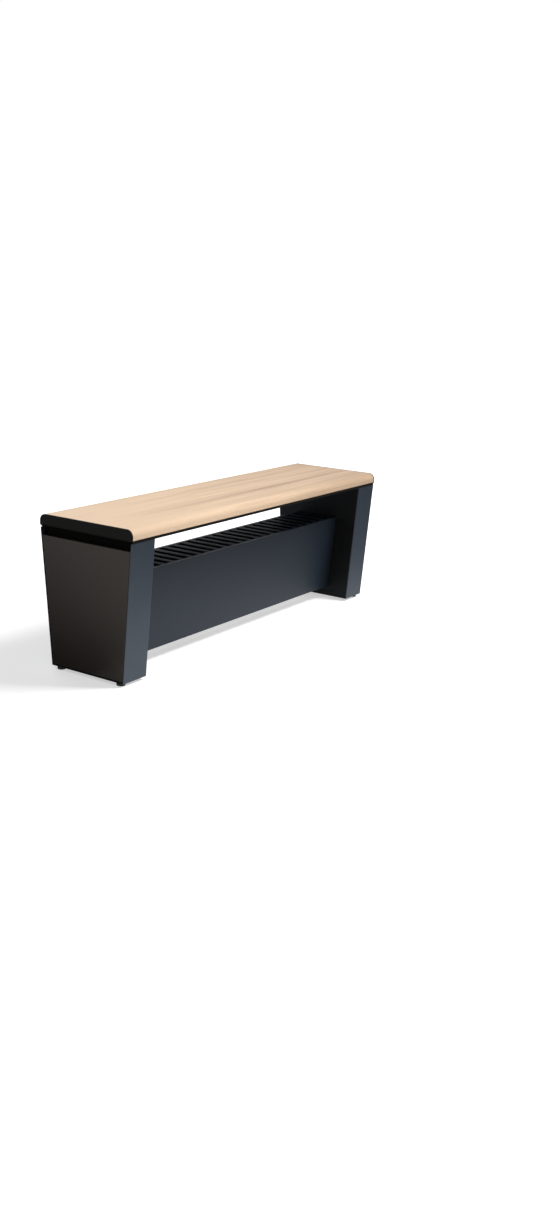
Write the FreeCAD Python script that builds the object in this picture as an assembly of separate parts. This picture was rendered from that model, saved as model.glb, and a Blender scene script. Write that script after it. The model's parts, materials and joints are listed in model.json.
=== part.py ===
"""A heated bench: a wooden seat on two hollow legs, with a hot-water convector slung between them.

Millimetres. X runs along the seat with the service leg at -X, the front faces -Y and Z is up.
The origin lies on the floor under the middle of the seat.
"""
import FreeCAD, Part
import math
import os

Vector = FreeCAD.Vector
ALONG = Vector(1, 0, 0)
ACROSS = Vector(0, 1, 0)
UP = Vector(0, 0, 1)
DOWN = Vector(0, 0, -1)
LEFT = -1
RIGHT = 1
FRONT = -1
REAR = 1
SIDES = {"left": LEFT, "right": RIGHT}
FACES = {"front": FRONT, "rear": REAR}

# Overall size
LENGTH = 1300.0
DEPTH = 350.0
SEAT_HEIGHT = 460.0

# Clearances shared by all pieces
SOLDER_GAP = 0.05
THREAD_GAP = 0.05
TURNING_GAP = 0.05
BOLT_HOLE_GAP = 0.4
WELD_GAP = 0.2
SHOULDER_GAP = 0.3

# Flanged bolt heads
BOLT_FLANGE = 1.2
BOLT_FLANGE_REACH = 2.0

# Seat: two boards lie on a steel sheet whose ends fold up and whose long edges fold down
BOARD_THICKNESS = 31.0
BOARD_EDGE_RADIUS = 20.0
BOARD_JOINT_GAP = 0.4
BOARD_END_GAP = 0.2
FRONT_BOARD_WIDTH = 118.0
SEAT_SHEET = 4.0
SEAT_BEND_RADIUS = 1.0
SEAT_LIP = 8.0
BOARD_SCREW_RADIUS = 2.5
BOARD_SCREW_BITE = 20.0
BOARD_SCREW_HEAD_RADIUS = 5.0
BOARD_SCREW_HEAD = 2.8
BOARD_SCREW_PITCH = 240.0
BOARD_SCREWS_PER_ROW = 5
SEAT_BOLT_RADIUS = 4.0
SEAT_BOLT_FLATS = 13.0
SEAT_BOLT_HEAD = 5.3
INSERT_RADIUS = 6.5
INSERT_LENGTH = 20.0
INSERT_TIP_ROOM = 2.0

# Legs: tapered sheet shells, open towards the ends of the bench
LEG_WIDTH = 100.0
LEG_SHEET = 2.0
LEG_BEND_RADIUS = 1.0
LEG_TOP_INSET = 2.0
LEG_TAPER = 34.0
LEG_TOP_GAP = 0.3
FLOOR_GAP = 10.0
HEAD_SHEET = 3.0
HEAD_HEIGHT = 70.0
HEAD_SETBACK = 14.0
BASE_SHEET = 4.0
BASE_INSET = 1.0
UPSTAND_HEIGHT = 34.0
ANCHOR_RADIUS = 4.5
ANCHOR_SPACING = 60.0
PIPE_HOLE_RADIUS = 18.0
TUBE_WINDOW_MARGIN = 8.0

# End panels: pans that hook onto the leg heads and lift off
SHADOW_GAP = 27.0
PANEL_SHEET = 2.0
PANEL_BEND_RADIUS = 2.0
PANEL_RETURN = 12.0
PANEL_INSET = 0.5
PANEL_SIDE_GAP = 1.5
PANEL_BASE_GAP = 2.0
PANEL_LIFT = 14.0
HOOK_SHEET = 2.0
HOOK_WIDTH = 20.0
HOOK_SPACING = 160.0
HOOK_SILL = 18.0
HOOK_DROP = 10.0
HOOK_TAB = 14.0
HOOK_GAP = 1.0
BUFFER_RADIUS = 7.0
BUFFER_SPACING = 130.0
BUFFER_GAP = 0.3

# Levelling feet
FOOT_SETBACK = 16.0
FOOT_CORNER_INSET = 23.0
PAD_RADIUS = 13.0
PAD_HEIGHT = 8.0
PAD_FLOOR = 3.0
PAD_EDGE_RADIUS = 1.2
STUD_RADIUS = 4.95
STUD_NECK_RADIUS = 3.5
STUD_LENGTH = 46.0
STUD_SOCKET_FLATS = 5.0
STUD_SOCKET_DEPTH = 6.0
FOOT_NUT_FLATS = 17.0
FOOT_NUT_HEIGHT = 10.0

# Convector casing
CASING_HEIGHT = 259.0
CASING_FLOOR_GAP = 44.0
CASING_TOP_DEPTH = 168.0
CASING_BOTTOM_DEPTH = 116.0
CASING_SHEET = 2.0
CASING_BEND_RADIUS = 1.5
CASING_TOP_BORDER = 9.0
CASING_LEDGE = 8.0
CASING_BOTTOM_FLANGE = 15.0
CASING_END_FLANGE = 20.0
CASING_BOLT_RADIUS = 3.0
CASING_BOLT_FLATS = 10.0
CASING_BOLT_HEAD = 4.0
CASING_BOLT_TIP = 2.0
CASING_NUT_HEIGHT = 5.0
CASING_BOLT_FROM_BOTTOM = 22.0
CASING_BOLT_FROM_TOP = 50.0

# Grille that lies in the top of the casing
GRILLE_HEIGHT = 8.0
GRILLE_SIDE_GAP = 0.75
GRILLE_END_GAP = 1.0
GRILLE_RAIL = 5.0
SLAT_WIDTH = 22.0
SLAT_PITCH = 44.0
SLAT_THICKNESS = 4.0
SLAT_EDGE_RADIUS = 0.8

# Heat exchanger: fins on two hairpin tubes
FIN_WIDTH = 108.0
FIN_HEIGHT = 100.0
FIN_SHEET = 0.5
FIN_PITCH = 10.0
EXCHANGER_LEFT_GAP = 20.0
EXCHANGER_RIGHT_GAP = 60.0
END_PLATE = 1.5
END_PLATE_MARGIN = 1.0
TUBE_RADIUS = 7.5
TUBE_WALL = 1.0
TUBE_SPREAD = 52.0
TUBE_RISE = 50.0
TUBE_TAIL = 8.0
CRADLE_HEIGHT = 36.0
CRADLE_SHEET = 2.0
CRADLE_WIDTH = 30.0
CRADLE_INSET = 45.0
CRADLE_SIDE_GAP = 0.5
RIVET_RADIUS = 2.4
RIVET_HEAD_RADIUS = 4.6
RIVET_HEAD = 1.2
RIVET_TAIL_RADIUS = 3.4
RIVET_TAIL = 2.0

# Headers, nipples and air vent in the service leg
HEADER_SIZE = 28.0
HEADER_END_ROOM = 1.5
HEADER_BORE = 8.0
HEADER_SOCKET = 8.0
PIPE_THREAD_RADIUS = 9.3
PIPE_THREAD_LENGTH = 13.0
NIPPLE_BORE = 6.5
NIPPLE_FLATS = 24.0
NIPPLE_HEX = 10.0
VENT_THREAD_RADIUS = 5.0
VENT_THREAD_LENGTH = 5.0
VENT_FLATS = 14.0
VENT_HEX = 5.0
VENT_STACK_RADIUS = 5.5
VENT_STACK = 8.0
VENT_SCREW_RADIUS = 2.0
VENT_KEY = 5.0
VENT_KEY_HEIGHT = 6.0

# Valves: both are angle bodies with the pipe below and the nipple at the side
VALVE_BARREL_RADIUS = 14.0
VALVE_BRANCH_RADIUS = 13.0
VALVE_BRANCH = 28.0
VALVE_INLET = 33.0
VALVE_WATERWAY = 6.0
VALVE_SIDE_WATERWAY = 5.0
VALVE_CHAMBER = 8.0
SUPPLY_SHOULDER = 20.0
SUPPLY_NECK_RADIUS = 13.5
SUPPLY_NECK = 12.0
RING_RADIUS = 17.0
RING_HEIGHT = 16.0
RING_LIFT = 2.0
PIN_RADIUS = 2.5
PIN_DEPTH = 5.0
PIN_PROUD = 10.0
KNOB_RADIUS = 24.0
KNOB_HEIGHT = 70.0
KNOB_DOME_RADIUS = 10.0
KNOB_GROOVES = 16
KNOB_GROOVE_RADIUS = 2.0
KNOB_GROOVE_LENGTH = 44.0
KNOB_BORE_RADIUS = 6.0
KNOB_BORE = 22.0
RETURN_SHOULDER = 14.0
RETURN_NECK_RADIUS = 9.0
RETURN_NECK = 10.0
SPINDLE_RADIUS = 4.0
SPINDLE_DEPTH = 5.0
SPINDLE_PROUD = 6.0
SPINDLE_SOCKET_FLATS = 4.0
SPINDLE_SOCKET_DEPTH = 5.0
CAP_WALL = 3.0
CAP_ROOM = 4.0

# Heights and half widths worked out from the values above
half_length = LENGTH / 2
half_depth = DEPTH / 2
board_bottom = SEAT_HEIGHT - BOARD_THICKNESS
seat_bottom = board_bottom - SEAT_SHEET
lip_bottom = board_bottom - SEAT_LIP
leg_inner = half_length - LEG_WIDTH
leg_middle = half_length - LEG_WIDTH / 2
leg_bottom = FLOOR_GAP
leg_top = lip_bottom - LEG_TOP_GAP
leg_slope = LEG_TAPER / (lip_bottom - leg_bottom)
leg_wall = LEG_SHEET * math.hypot(1, leg_slope)
casing_bottom = CASING_FLOOR_GAP
casing_top = casing_bottom + CASING_HEIGHT
casing_slope = (CASING_TOP_DEPTH - CASING_BOTTOM_DEPTH) / 2 / CASING_HEIGHT
casing_wall = CASING_SHEET * math.hypot(1, casing_slope)
grille_half_width = CASING_TOP_DEPTH / 2 - CASING_TOP_BORDER - GRILLE_SIDE_GAP
grille_half_length = leg_inner - GRILLE_END_GAP
slats_each_side = math.floor((grille_half_length - GRILLE_RAIL - SLAT_WIDTH / 2) / SLAT_PITCH)
hook_height = seat_bottom - HEAD_HEIGHT + HOOK_SILL
base_top = leg_bottom + BASE_SHEET
exchanger_bottom = casing_bottom + CASING_SHEET + CRADLE_HEIGHT
exchanger_left = EXCHANGER_LEFT_GAP - leg_inner
fin_count = math.floor((leg_inner - EXCHANGER_RIGHT_GAP - exchanger_left) / FIN_PITCH) - 1
exchanger_right = exchanger_left + FIN_PITCH * (fin_count + 1)
tube_low = exchanger_bottom + (FIN_HEIGHT - TUBE_RISE) / 2
tube_high = tube_low + TUBE_RISE
tube_sides = (-TUBE_SPREAD / 2, TUBE_SPREAD / 2)
header_end = TUBE_SPREAD / 2 + TUBE_RADIUS + HEADER_END_ROOM + PIPE_THREAD_LENGTH
valve_distance = header_end + NIPPLE_HEX + VALVE_BRANCH
knob_bottom = tube_high + SUPPLY_SHOULDER + RING_LIFT + RING_HEIGHT + SHOULDER_GAP
bolt_heights = (casing_bottom + CASING_BOLT_FROM_BOTTOM, casing_top - CASING_BOLT_FROM_TOP)


def leg_half_depth(z):
    """Half the depth over the outside of a leg at height z."""
    return half_depth - LEG_TOP_INSET - leg_slope * (lip_bottom - z)


def casing_half_depth(z):
    """Half the depth over the outside of the casing at height z."""
    return CASING_BOTTOM_DEPTH / 2 + casing_slope * (z - casing_bottom)


foot_y = leg_half_depth(leg_bottom) - FOOT_CORNER_INSET
foot_x = half_length - FOOT_SETBACK


def box(x, y, z):
    """A block between two limits on each axis, given in either order."""
    low = Vector(min(x), min(y), min(z))
    return Part.makeBox(max(x) - low.x, max(y) - low.y, max(z) - low.z, low)


def flat_face(points):
    return Part.Face(Part.makePolygon(points + points[:1]))


def prism(outline, x):
    """A closed outline of (y, z) points, extruded along X between two limits."""
    face = flat_face([Vector(min(x), y, z) for y, z in outline])
    return face.extrude(ALONG * (max(x) - min(x)))


def rod(start, direction, radius, length):
    return Part.makeCylinder(radius, length, start, direction)


def set_on(shape, start, direction):
    """Moves a shape made at the origin along +Z to a start point and direction."""
    shape.Placement = FreeCAD.Placement(start, FreeCAD.Rotation(UP, direction))
    return shape


def hexagon(start, direction, across_flats, height):
    radius = across_flats / math.sqrt(3)
    corners = [math.radians(60 * i) for i in range(6)]
    face = flat_face([Vector(radius * math.cos(a), radius * math.sin(a), 0) for a in corners])
    return set_on(face.extrude(UP * height), start, direction)


def turned(outline, start, direction):
    """A closed outline of (radius, height) points, turned about an axis."""
    face = flat_face([Vector(radius, 0, height) for radius, height in outline])
    return set_on(face.revolve(Vector(0, 0, 0), UP, 360), start, direction)


def flange_bolt(start, direction, radius, length, flats, head):
    """A bolt whose flanged head sits on start, with its shank along direction."""
    shank = rod(start, direction, radius, length)
    collar = rod(start, direction * -1, flats / 2 + BOLT_FLANGE_REACH, BOLT_FLANGE)
    hexagon_head = hexagon(start - direction * head, direction, flats, head - BOLT_FLANGE)
    return shank.fuse([collar, hexagon_head]).removeSplitter()


def nut(start, direction, radius, flats, height):
    return hexagon(start, direction, flats, height).cut(rod(start, direction, radius + THREAD_GAP, height))


def leg_outline(inset, low, high):
    """The tapered outline of a leg, drawn in by inset, between two heights."""
    wide = leg_half_depth(high) - inset
    narrow = leg_half_depth(low) - inset
    return [(-narrow, low), (narrow, low), (wide, high), (-wide, high)]


def seat_rows():
    """Where the rows of seat fasteners lie: one on the front board and two on the rear board."""
    joint = FRONT_BOARD_WIDTH - half_depth
    rear_width = half_depth - joint
    return [joint - FRONT_BOARD_WIDTH / 2, joint + rear_width / 4, joint + rear_width * 3 / 4]


def screw_points():
    middle = (BOARD_SCREWS_PER_ROW - 1) / 2
    columns = [(i - middle) * BOARD_SCREW_PITCH for i in range(BOARD_SCREWS_PER_ROW)]
    return [(x, y) for x in columns for y in seat_rows()]


def seat_bolt_points():
    return [(side * leg_middle, y) for side in (LEFT, RIGHT) for y in seat_rows()]


def upright_holes(points, z, radius):
    """Upright cutters through a layer of the seat."""
    return [rod(Vector(x, y, min(z)), UP, radius, max(z) - min(z)) for x, y in points]


def seat_section(x, bottom):
    """The cross section of the whole seat along X, with its two long top edges rounded."""
    block = box(x, (-half_depth, half_depth), (bottom, SEAT_HEIGHT))
    long_edges = [e for e in block.Edges if e.BoundBox.XLength > e.BoundBox.YLength]
    top_edges = [e for e in long_edges if e.BoundBox.ZMin > bottom]
    return block.makeFillet(BOARD_EDGE_RADIUS, top_edges)


def rounded_across(block, radius, height):
    """Rounds the two bottom edges of a block that run across the bench."""
    edges = [e for e in block.Edges if e.BoundBox.YLength > e.BoundBox.XLength]
    return block.makeFillet(radius, [e for e in edges if abs(e.CenterOfMass.z - height) < radius / 2])


def seat_plate():
    fold = box((-half_length, half_length), (-half_depth, half_depth), (seat_bottom, SEAT_HEIGHT))
    fold = rounded_across(fold, SEAT_BEND_RADIUS + SEAT_SHEET, seat_bottom)
    inner = half_length - SEAT_SHEET
    room = box((-inner, inner), (-DEPTH, DEPTH), (board_bottom, SEAT_HEIGHT + BOARD_THICKNESS))
    room = rounded_across(room, SEAT_BEND_RADIUS, board_bottom)
    plate = fold.common(seat_section((-half_length, half_length), seat_bottom)).cut(room)
    flat = inner - SEAT_BEND_RADIUS
    lips = []
    for face in FACES.values():
        lip = (face * (half_depth - SEAT_SHEET), face * half_depth)
        lips.append(box((-flat, flat), lip, (lip_bottom, board_bottom)))
    plate = plate.fuse(lips).removeSplitter()
    layer = (seat_bottom, board_bottom)
    screws = upright_holes(screw_points(), layer, BOARD_SCREW_RADIUS + BOLT_HOLE_GAP)
    bolts = upright_holes(seat_bolt_points(), layer, SEAT_BOLT_RADIUS + BOLT_HOLE_GAP)
    return plate.cut(screws + bolts)


def seat_board(face):
    reach = half_length - SEAT_SHEET - BOARD_END_GAP
    joint = FRONT_BOARD_WIDTH - half_depth
    edge = joint + face * BOARD_JOINT_GAP / 2
    keep = box((-reach, reach), (edge, face * half_depth), (board_bottom, SEAT_HEIGHT))
    board = seat_section((-reach, reach), board_bottom).common(keep)
    board = rounded_across(board, SEAT_BEND_RADIUS + BOARD_END_GAP, board_bottom)
    screw_layer = (board_bottom, board_bottom + BOARD_SCREW_BITE)
    insert_layer = (board_bottom, board_bottom + INSERT_LENGTH + INSERT_TIP_ROOM)
    screws = upright_holes(screw_points(), screw_layer, BOARD_SCREW_RADIUS + THREAD_GAP)
    inserts = upright_holes(seat_bolt_points(), insert_layer, INSERT_RADIUS + THREAD_GAP)
    return board.cut(screws + inserts)


def board_screws():
    length = SEAT_SHEET + BOARD_SCREW_BITE
    screws = []
    for x, y in screw_points():
        shank = rod(Vector(x, y, seat_bottom), UP, BOARD_SCREW_RADIUS, length)
        head = rod(Vector(x, y, seat_bottom), DOWN, BOARD_SCREW_HEAD_RADIUS, BOARD_SCREW_HEAD)
        screws.append(shank.fuse(head))
    return screws


def seat_bolts():
    seat = seat_bottom - HEAD_SHEET
    length = HEAD_SHEET + SEAT_SHEET + INSERT_LENGTH
    return [flange_bolt(Vector(x, y, seat), UP, SEAT_BOLT_RADIUS, length, SEAT_BOLT_FLATS, SEAT_BOLT_HEAD)
            for x, y in seat_bolt_points()]


def seat_inserts():
    inserts = []
    for x, y in seat_bolt_points():
        start = Vector(x, y, board_bottom)
        sleeve = rod(start, UP, INSERT_RADIUS, INSERT_LENGTH)
        inserts.append(sleeve.cut(rod(start, UP, SEAT_BOLT_RADIUS + THREAD_GAP, INSERT_LENGTH)))
    return inserts


def casing_bolt_points():
    """Where the casing is bolted to a leg, as (y, z) points on the leg's inner wall."""
    points = []
    for face in FACES.values():
        for z in bolt_heights:
            y = casing_half_depth(z) - casing_wall - CASING_END_FLANGE / 2
            points.append((face * y, z))
    return points


def casing_bolt_holes(side, thickness, start):
    """Cutters for the casing bolts through a sheet that starts at a distance from the middle."""
    return [rod(Vector(side * start, y, z), ALONG * side, CASING_BOLT_RADIUS + BOLT_HOLE_GAP, thickness)
            for y, z in casing_bolt_points()]


def rounded_bends(block, radius, x):
    """Rounds the two sloping upright edges of a block that lie at x."""
    edges = [e for e in block.Edges if e.BoundBox.ZLength > e.BoundBox.YLength]
    return block.makeFillet(radius, [e for e in edges if abs(e.CenterOfMass.x - x) < radius / 2])


def leg_shell(side):
    inner = side * leg_inner
    outer = side * half_length
    step = side * LEG_SHEET
    shell = prism(leg_outline(0, leg_bottom, leg_top), (inner, outer))
    shell = rounded_bends(shell, LEG_BEND_RADIUS + LEG_SHEET, inner)
    hollow_outline = leg_outline(leg_wall, leg_bottom - LEG_SHEET, leg_top + LEG_SHEET)
    hollow = prism(hollow_outline, (inner + step, outer + step))
    hollow = rounded_bends(hollow, LEG_BEND_RADIUS, inner + step)
    cuts = [hollow] + casing_bolt_holes(side, LEG_SHEET, leg_inner)
    if side == LEFT:
        cuts.append(tube_window())
    return shell.cut(cuts)


def tube_window():
    """The opening in the service leg's inner wall that the four tube ends pass through."""
    reach = TUBE_RADIUS + TUBE_WINDOW_MARGIN
    y = TUBE_SPREAD / 2 + reach
    return box((-leg_inner, -leg_inner - LEG_SHEET), (-y, y), (tube_low - reach, tube_high + reach))


def hook_places():
    return [-HOOK_SPACING / 2, HOOK_SPACING / 2]


def leg_head(side):
    web = side * (half_length - HEAD_SETBACK)
    wall = side * (leg_inner + LEG_SHEET)
    step = side * HEAD_SHEET
    bottom = seat_bottom - HEAD_HEIGHT
    block = prism(leg_outline(leg_wall + LEG_BEND_RADIUS + WELD_GAP, bottom, seat_bottom), (web, wall))
    room = box((web - step, wall + step), (-DEPTH, DEPTH), (bottom, seat_bottom - HEAD_SHEET))
    own_bolts = [(x, y) for x, y in seat_bolt_points() if x * side > 0]
    cuts = [room] + upright_holes(own_bolts, (seat_bottom - HEAD_SHEET, seat_bottom),
                                  SEAT_BOLT_RADIUS + BOLT_HOLE_GAP)
    slot_top = hook_height + HOOK_SHEET + PANEL_LIFT + HOOK_GAP
    half_slot = HOOK_WIDTH / 2 + HOOK_GAP
    for y in hook_places():
        cuts.append(box((web, web - step), (y - half_slot, y + half_slot), (hook_height, slot_top)))
    return block.cut(cuts)


def leg_base(side):
    wall = side * (leg_inner + LEG_SHEET)
    edge = side * (half_length - BASE_INSET)
    outline = leg_outline(leg_wall + LEG_BEND_RADIUS + WELD_GAP, leg_bottom, base_top)
    web = side * (half_length - HEAD_SETBACK)
    half_upstand = foot_y - FOOT_NUT_FLATS
    upstand = box((web, web - side * BASE_SHEET), (-half_upstand, half_upstand),
                  (leg_bottom, base_top + UPSTAND_HEIGHT))
    base = prism(outline, (wall, edge)).fuse(upstand)
    layer = (leg_bottom, base_top)
    studs = [(side * foot_x, face * foot_y) for face in FACES.values()]
    anchors = [(side * leg_middle, face * ANCHOR_SPACING / 2) for face in FACES.values()]
    cuts = upright_holes(studs, layer, STUD_RADIUS + BOLT_HOLE_GAP)
    cuts += upright_holes(anchors, layer, ANCHOR_RADIUS)
    if side == LEFT:
        pipes = [(side * leg_middle, face * valve_distance) for face in FACES.values()]
        cuts += upright_holes(pipes, layer, PIPE_HOLE_RADIUS)
    return base.cut(cuts).removeSplitter()


def end_panel(side):
    outer = side * (half_length - PANEL_INSET)
    back = outer - side * PANEL_RETURN
    step = side * PANEL_SHEET
    bottom = base_top + PANEL_BASE_GAP
    top = seat_bottom - SHADOW_GAP
    inset = leg_wall + PANEL_SIDE_GAP
    pan = prism(leg_outline(inset, bottom, top), (back, outer))
    rim = [e for e in pan.Edges if abs(e.CenterOfMass.x - outer) < PANEL_SHEET / 2]
    pan = pan.makeFillet(PANEL_BEND_RADIUS, [e for e in rim if e.CenterOfMass.z > bottom + PANEL_SHEET])
    hollow = leg_outline(inset + PANEL_SHEET, bottom - PANEL_SHEET, top - PANEL_SHEET)
    return pan.cut(prism(hollow, (outer - step, back - step)))


def panel_hooks(side):
    face = side * (half_length - PANEL_INSET - PANEL_SHEET)
    web_back = side * (half_length - HEAD_SETBACK - HEAD_SHEET)
    step = side * HOOK_SHEET
    tip = web_back - side * HOOK_GAP
    hooks = []
    for place in hook_places():
        y = (place - HOOK_WIDTH / 2, place + HOOK_WIDTH / 2)
        tab = box((face, face - step), y, (hook_height - HOOK_TAB, hook_height + HOOK_TAB))
        arm = box((face, tip - step), y, (hook_height, hook_height + HOOK_SHEET))
        drop = box((tip, tip - step), y, (hook_height - HOOK_DROP, hook_height + HOOK_SHEET))
        hooks.append(tab.fuse([arm, drop]).removeSplitter())
    return hooks


def panel_buffers():
    reach = HEAD_SETBACK - PANEL_INSET - PANEL_SHEET - BUFFER_GAP
    height = base_top + UPSTAND_HEIGHT / 2
    buffers = []
    for side in SIDES.values():
        for face in FACES.values():
            start = Vector(side * (half_length - HEAD_SETBACK), face * BUFFER_SPACING / 2, height)
            buffers.append(rod(start, ALONG * side, BUFFER_RADIUS, reach))
    return buffers


def foot_point(side, face, z):
    return Vector(side * foot_x, face * foot_y, z)


def foot_nuts():
    return [nut(foot_point(side, face, base_top), UP, STUD_RADIUS, FOOT_NUT_FLATS, FOOT_NUT_HEIGHT)
            for side in SIDES.values() for face in FACES.values()]


def foot_pad(side, face):
    pad = rod(foot_point(side, face, 0), UP, PAD_RADIUS, PAD_HEIGHT)
    pad = pad.makeFillet(PAD_EDGE_RADIUS, [e for e in pad.Edges if len(e.Vertexes) == 1])
    return pad.cut(rod(foot_point(side, face, PAD_FLOOR), UP, STUD_NECK_RADIUS + TURNING_GAP, PAD_HEIGHT))


def foot_stud(side, face):
    shoulder = PAD_HEIGHT + SHOULDER_GAP
    neck = rod(foot_point(side, face, PAD_FLOOR), UP, STUD_NECK_RADIUS, shoulder - PAD_FLOOR)
    thread = rod(foot_point(side, face, shoulder), UP, STUD_RADIUS, STUD_LENGTH - shoulder)
    socket = hexagon(foot_point(side, face, STUD_LENGTH), DOWN, STUD_SOCKET_FLATS, STUD_SOCKET_DEPTH)
    return neck.fuse(thread).cut(socket)


def casing_panel(face):
    """One long side of the casing: a sloping wall with a folded ledge above and flanges around."""
    sheet = CASING_SHEET
    top = CASING_TOP_DEPTH / 2
    bottom = CASING_BOTTOM_DEPTH / 2
    pocket = top - CASING_TOP_BORDER
    ledge = casing_top - GRILLE_HEIGHT
    wall_top = casing_half_depth(casing_top - sheet) - casing_wall
    wall_bottom = casing_half_depth(casing_bottom + sheet) - casing_wall
    outline = [
        (bottom - CASING_BOTTOM_FLANGE, casing_bottom),
        (bottom, casing_bottom),
        (top, casing_top),
        (pocket, casing_top),
        (pocket, ledge),
        (pocket - CASING_LEDGE, ledge),
        (pocket - CASING_LEDGE, ledge - sheet),
        (pocket + sheet, ledge - sheet),
        (pocket + sheet, casing_top - sheet),
        (wall_top, casing_top - sheet),
        (wall_bottom, casing_bottom + sheet),
        (bottom - CASING_BOTTOM_FLANGE, casing_bottom + sheet),
    ]
    panel = prism([(face * y, z) for y, z in outline], (-leg_inner, leg_inner))
    panel = rounded_outside(panel, face)
    ends = [casing_end_flange(side, face, ledge - sheet) for side in SIDES.values()]
    panel = panel.fuse(ends).removeSplitter()
    holes = [hole for side in SIDES.values()
             for hole in casing_bolt_holes(-side, CASING_SHEET, -leg_inner)]
    return panel.cut(holes + rivet_holes(casing_bottom, CASING_SHEET))


def rounded_outside(panel, face):
    """Rounds the two long outside bends of a casing panel."""
    corners = ((CASING_TOP_DEPTH / 2, casing_top), (CASING_BOTTOM_DEPTH / 2, casing_bottom))
    bends = []
    for y, z in corners:
        point = Vector(0, face * y, z)
        bends += [e for e in panel.Edges if (e.CenterOfMass - point).Length < CASING_SHEET / 2]
    return panel.makeFillet(CASING_BEND_RADIUS, bends)


def casing_end_flange(side, face, top):
    """The folded end of a casing panel, which lies flat on the leg's inner wall."""
    low = casing_bottom + CASING_SHEET / 2
    outline = []
    for z, inset in ((low, casing_wall / 2), (top, casing_wall / 2),
                     (top, casing_wall + CASING_END_FLANGE), (low, casing_wall + CASING_END_FLANGE)):
        outline.append((face * (casing_half_depth(z) - inset), z))
    return prism(outline, (side * leg_inner, side * (leg_inner - CASING_SHEET)))


def casing_bolts():
    length = CASING_SHEET + LEG_SHEET + CASING_NUT_HEIGHT + CASING_BOLT_TIP
    return [flange_bolt(Vector(side * (leg_inner - CASING_SHEET), y, z), ALONG * side,
                        CASING_BOLT_RADIUS, length, CASING_BOLT_FLATS, CASING_BOLT_HEAD)
            for side in SIDES.values() for y, z in casing_bolt_points()]


def casing_nuts():
    return [nut(Vector(side * (leg_inner + LEG_SHEET), y, z), ALONG * side,
                CASING_BOLT_RADIUS, CASING_BOLT_FLATS, CASING_NUT_HEIGHT)
            for side in SIDES.values() for y, z in casing_bolt_points()]


def grille_frame():
    outside = (grille_half_length, grille_half_width)
    inside = (grille_half_length - GRILLE_RAIL, grille_half_width - GRILLE_RAIL)
    height = (casing_top - GRILLE_HEIGHT, casing_top)
    blocks = [box((-x, x), (-y, y), height) for x, y in (outside, inside)]
    return blocks[0].cut(blocks[1])


def grille_slats():
    y = grille_half_width - GRILLE_RAIL
    slats = []
    for i in range(-slats_each_side, slats_each_side + 1):
        x = (i * SLAT_PITCH - SLAT_WIDTH / 2, i * SLAT_PITCH + SLAT_WIDTH / 2)
        slat = box(x, (-y, y), (casing_top - SLAT_THICKNESS, casing_top))
        edges = [e for e in slat.Edges if e.BoundBox.YLength > SLAT_WIDTH]
        top_edges = [e for e in edges if e.CenterOfMass.z > casing_top - SLAT_THICKNESS / 2]
        slats.append(slat.makeFillet(SLAT_EDGE_RADIUS, top_edges))
    return slats


def tube_holes(x, thickness):
    """Cutters for the four tubes through a sheet that stands across the exchanger."""
    return [rod(Vector(x, y, z), ALONG, TUBE_RADIUS + SOLDER_GAP, thickness)
            for y in tube_sides for z in (tube_low, tube_high)]


def holed_sheet(x, thickness, margin):
    """A sheet of the fins' outline, grown by margin at the sides and top, with the tube holes."""
    y = FIN_WIDTH / 2 + margin
    sheet = box((x, x + thickness), (-y, y), (exchanger_bottom, exchanger_bottom + FIN_HEIGHT + margin))
    return sheet.cut(tube_holes(x, thickness))


def exchanger_fins():
    first = holed_sheet(exchanger_left + FIN_PITCH - FIN_SHEET / 2, FIN_SHEET, 0)
    return [first.translated(ALONG * (FIN_PITCH * i)) for i in range(fin_count)]


def exchanger_end_plates():
    return [holed_sheet(x - END_PLATE / 2, END_PLATE, END_PLATE_MARGIN)
            for x in (exchanger_left, exchanger_right)]


def hairpin(y, radius):
    """A solid hairpin: two straight runs joined by a half ring at the far end."""
    start = HEADER_SIZE / 2 - HEADER_SOCKET - leg_middle
    bend = exchanger_right + TUBE_TAIL
    runs = [rod(Vector(start, y, z), ALONG, radius, bend - start) for z in (tube_low, tube_high)]
    ring = Part.makeTorus(TUBE_RISE / 2, radius, Vector(bend, y, (tube_low + tube_high) / 2), ACROSS)
    far_side = box((bend, leg_inner), (y - radius, y + radius),
                   (tube_low - TUBE_RISE, tube_high + TUBE_RISE))
    return runs[0].fuse([runs[1], ring.common(far_side)]).removeSplitter()


def exchanger_tube(y):
    return hairpin(y, TUBE_RADIUS).cut(hairpin(y, TUBE_RADIUS - TUBE_WALL))


def cradle_places():
    return [exchanger_left + CRADLE_INSET, (exchanger_left + exchanger_right) / 2,
            exchanger_right - CRADLE_INSET]


def cradle_limits():
    """How far a cradle's legs and feet reach from the middle."""
    leg = CASING_BOTTOM_DEPTH / 2 - CASING_BOTTOM_FLANGE
    foot = casing_half_depth(casing_bottom + CASING_SHEET) - casing_wall - CRADLE_SIDE_GAP
    return leg, foot


def rivet_points():
    leg, foot = cradle_limits()
    return [(x, face * (leg + foot) / 2) for x in cradle_places() for face in FACES.values()]


def rivet_holes(z, thickness):
    return upright_holes(rivet_points(), (z, z + thickness), RIVET_RADIUS + SOLDER_GAP)


def exchanger_cradles():
    leg, foot = cradle_limits()
    sheet = CRADLE_SHEET
    low = casing_bottom + CASING_SHEET
    outline = [
        (-foot, low), (-foot, low + sheet), (-leg, low + sheet), (-leg, exchanger_bottom),
        (leg, exchanger_bottom), (leg, low + sheet), (foot, low + sheet), (foot, low),
        (leg - sheet, low), (leg - sheet, exchanger_bottom - sheet),
        (sheet - leg, exchanger_bottom - sheet), (sheet - leg, low),
    ]
    holes = rivet_holes(low, sheet)
    return [prism(outline, (x - CRADLE_WIDTH / 2, x + CRADLE_WIDTH / 2)).cut(holes)
            for x in cradle_places()]


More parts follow.
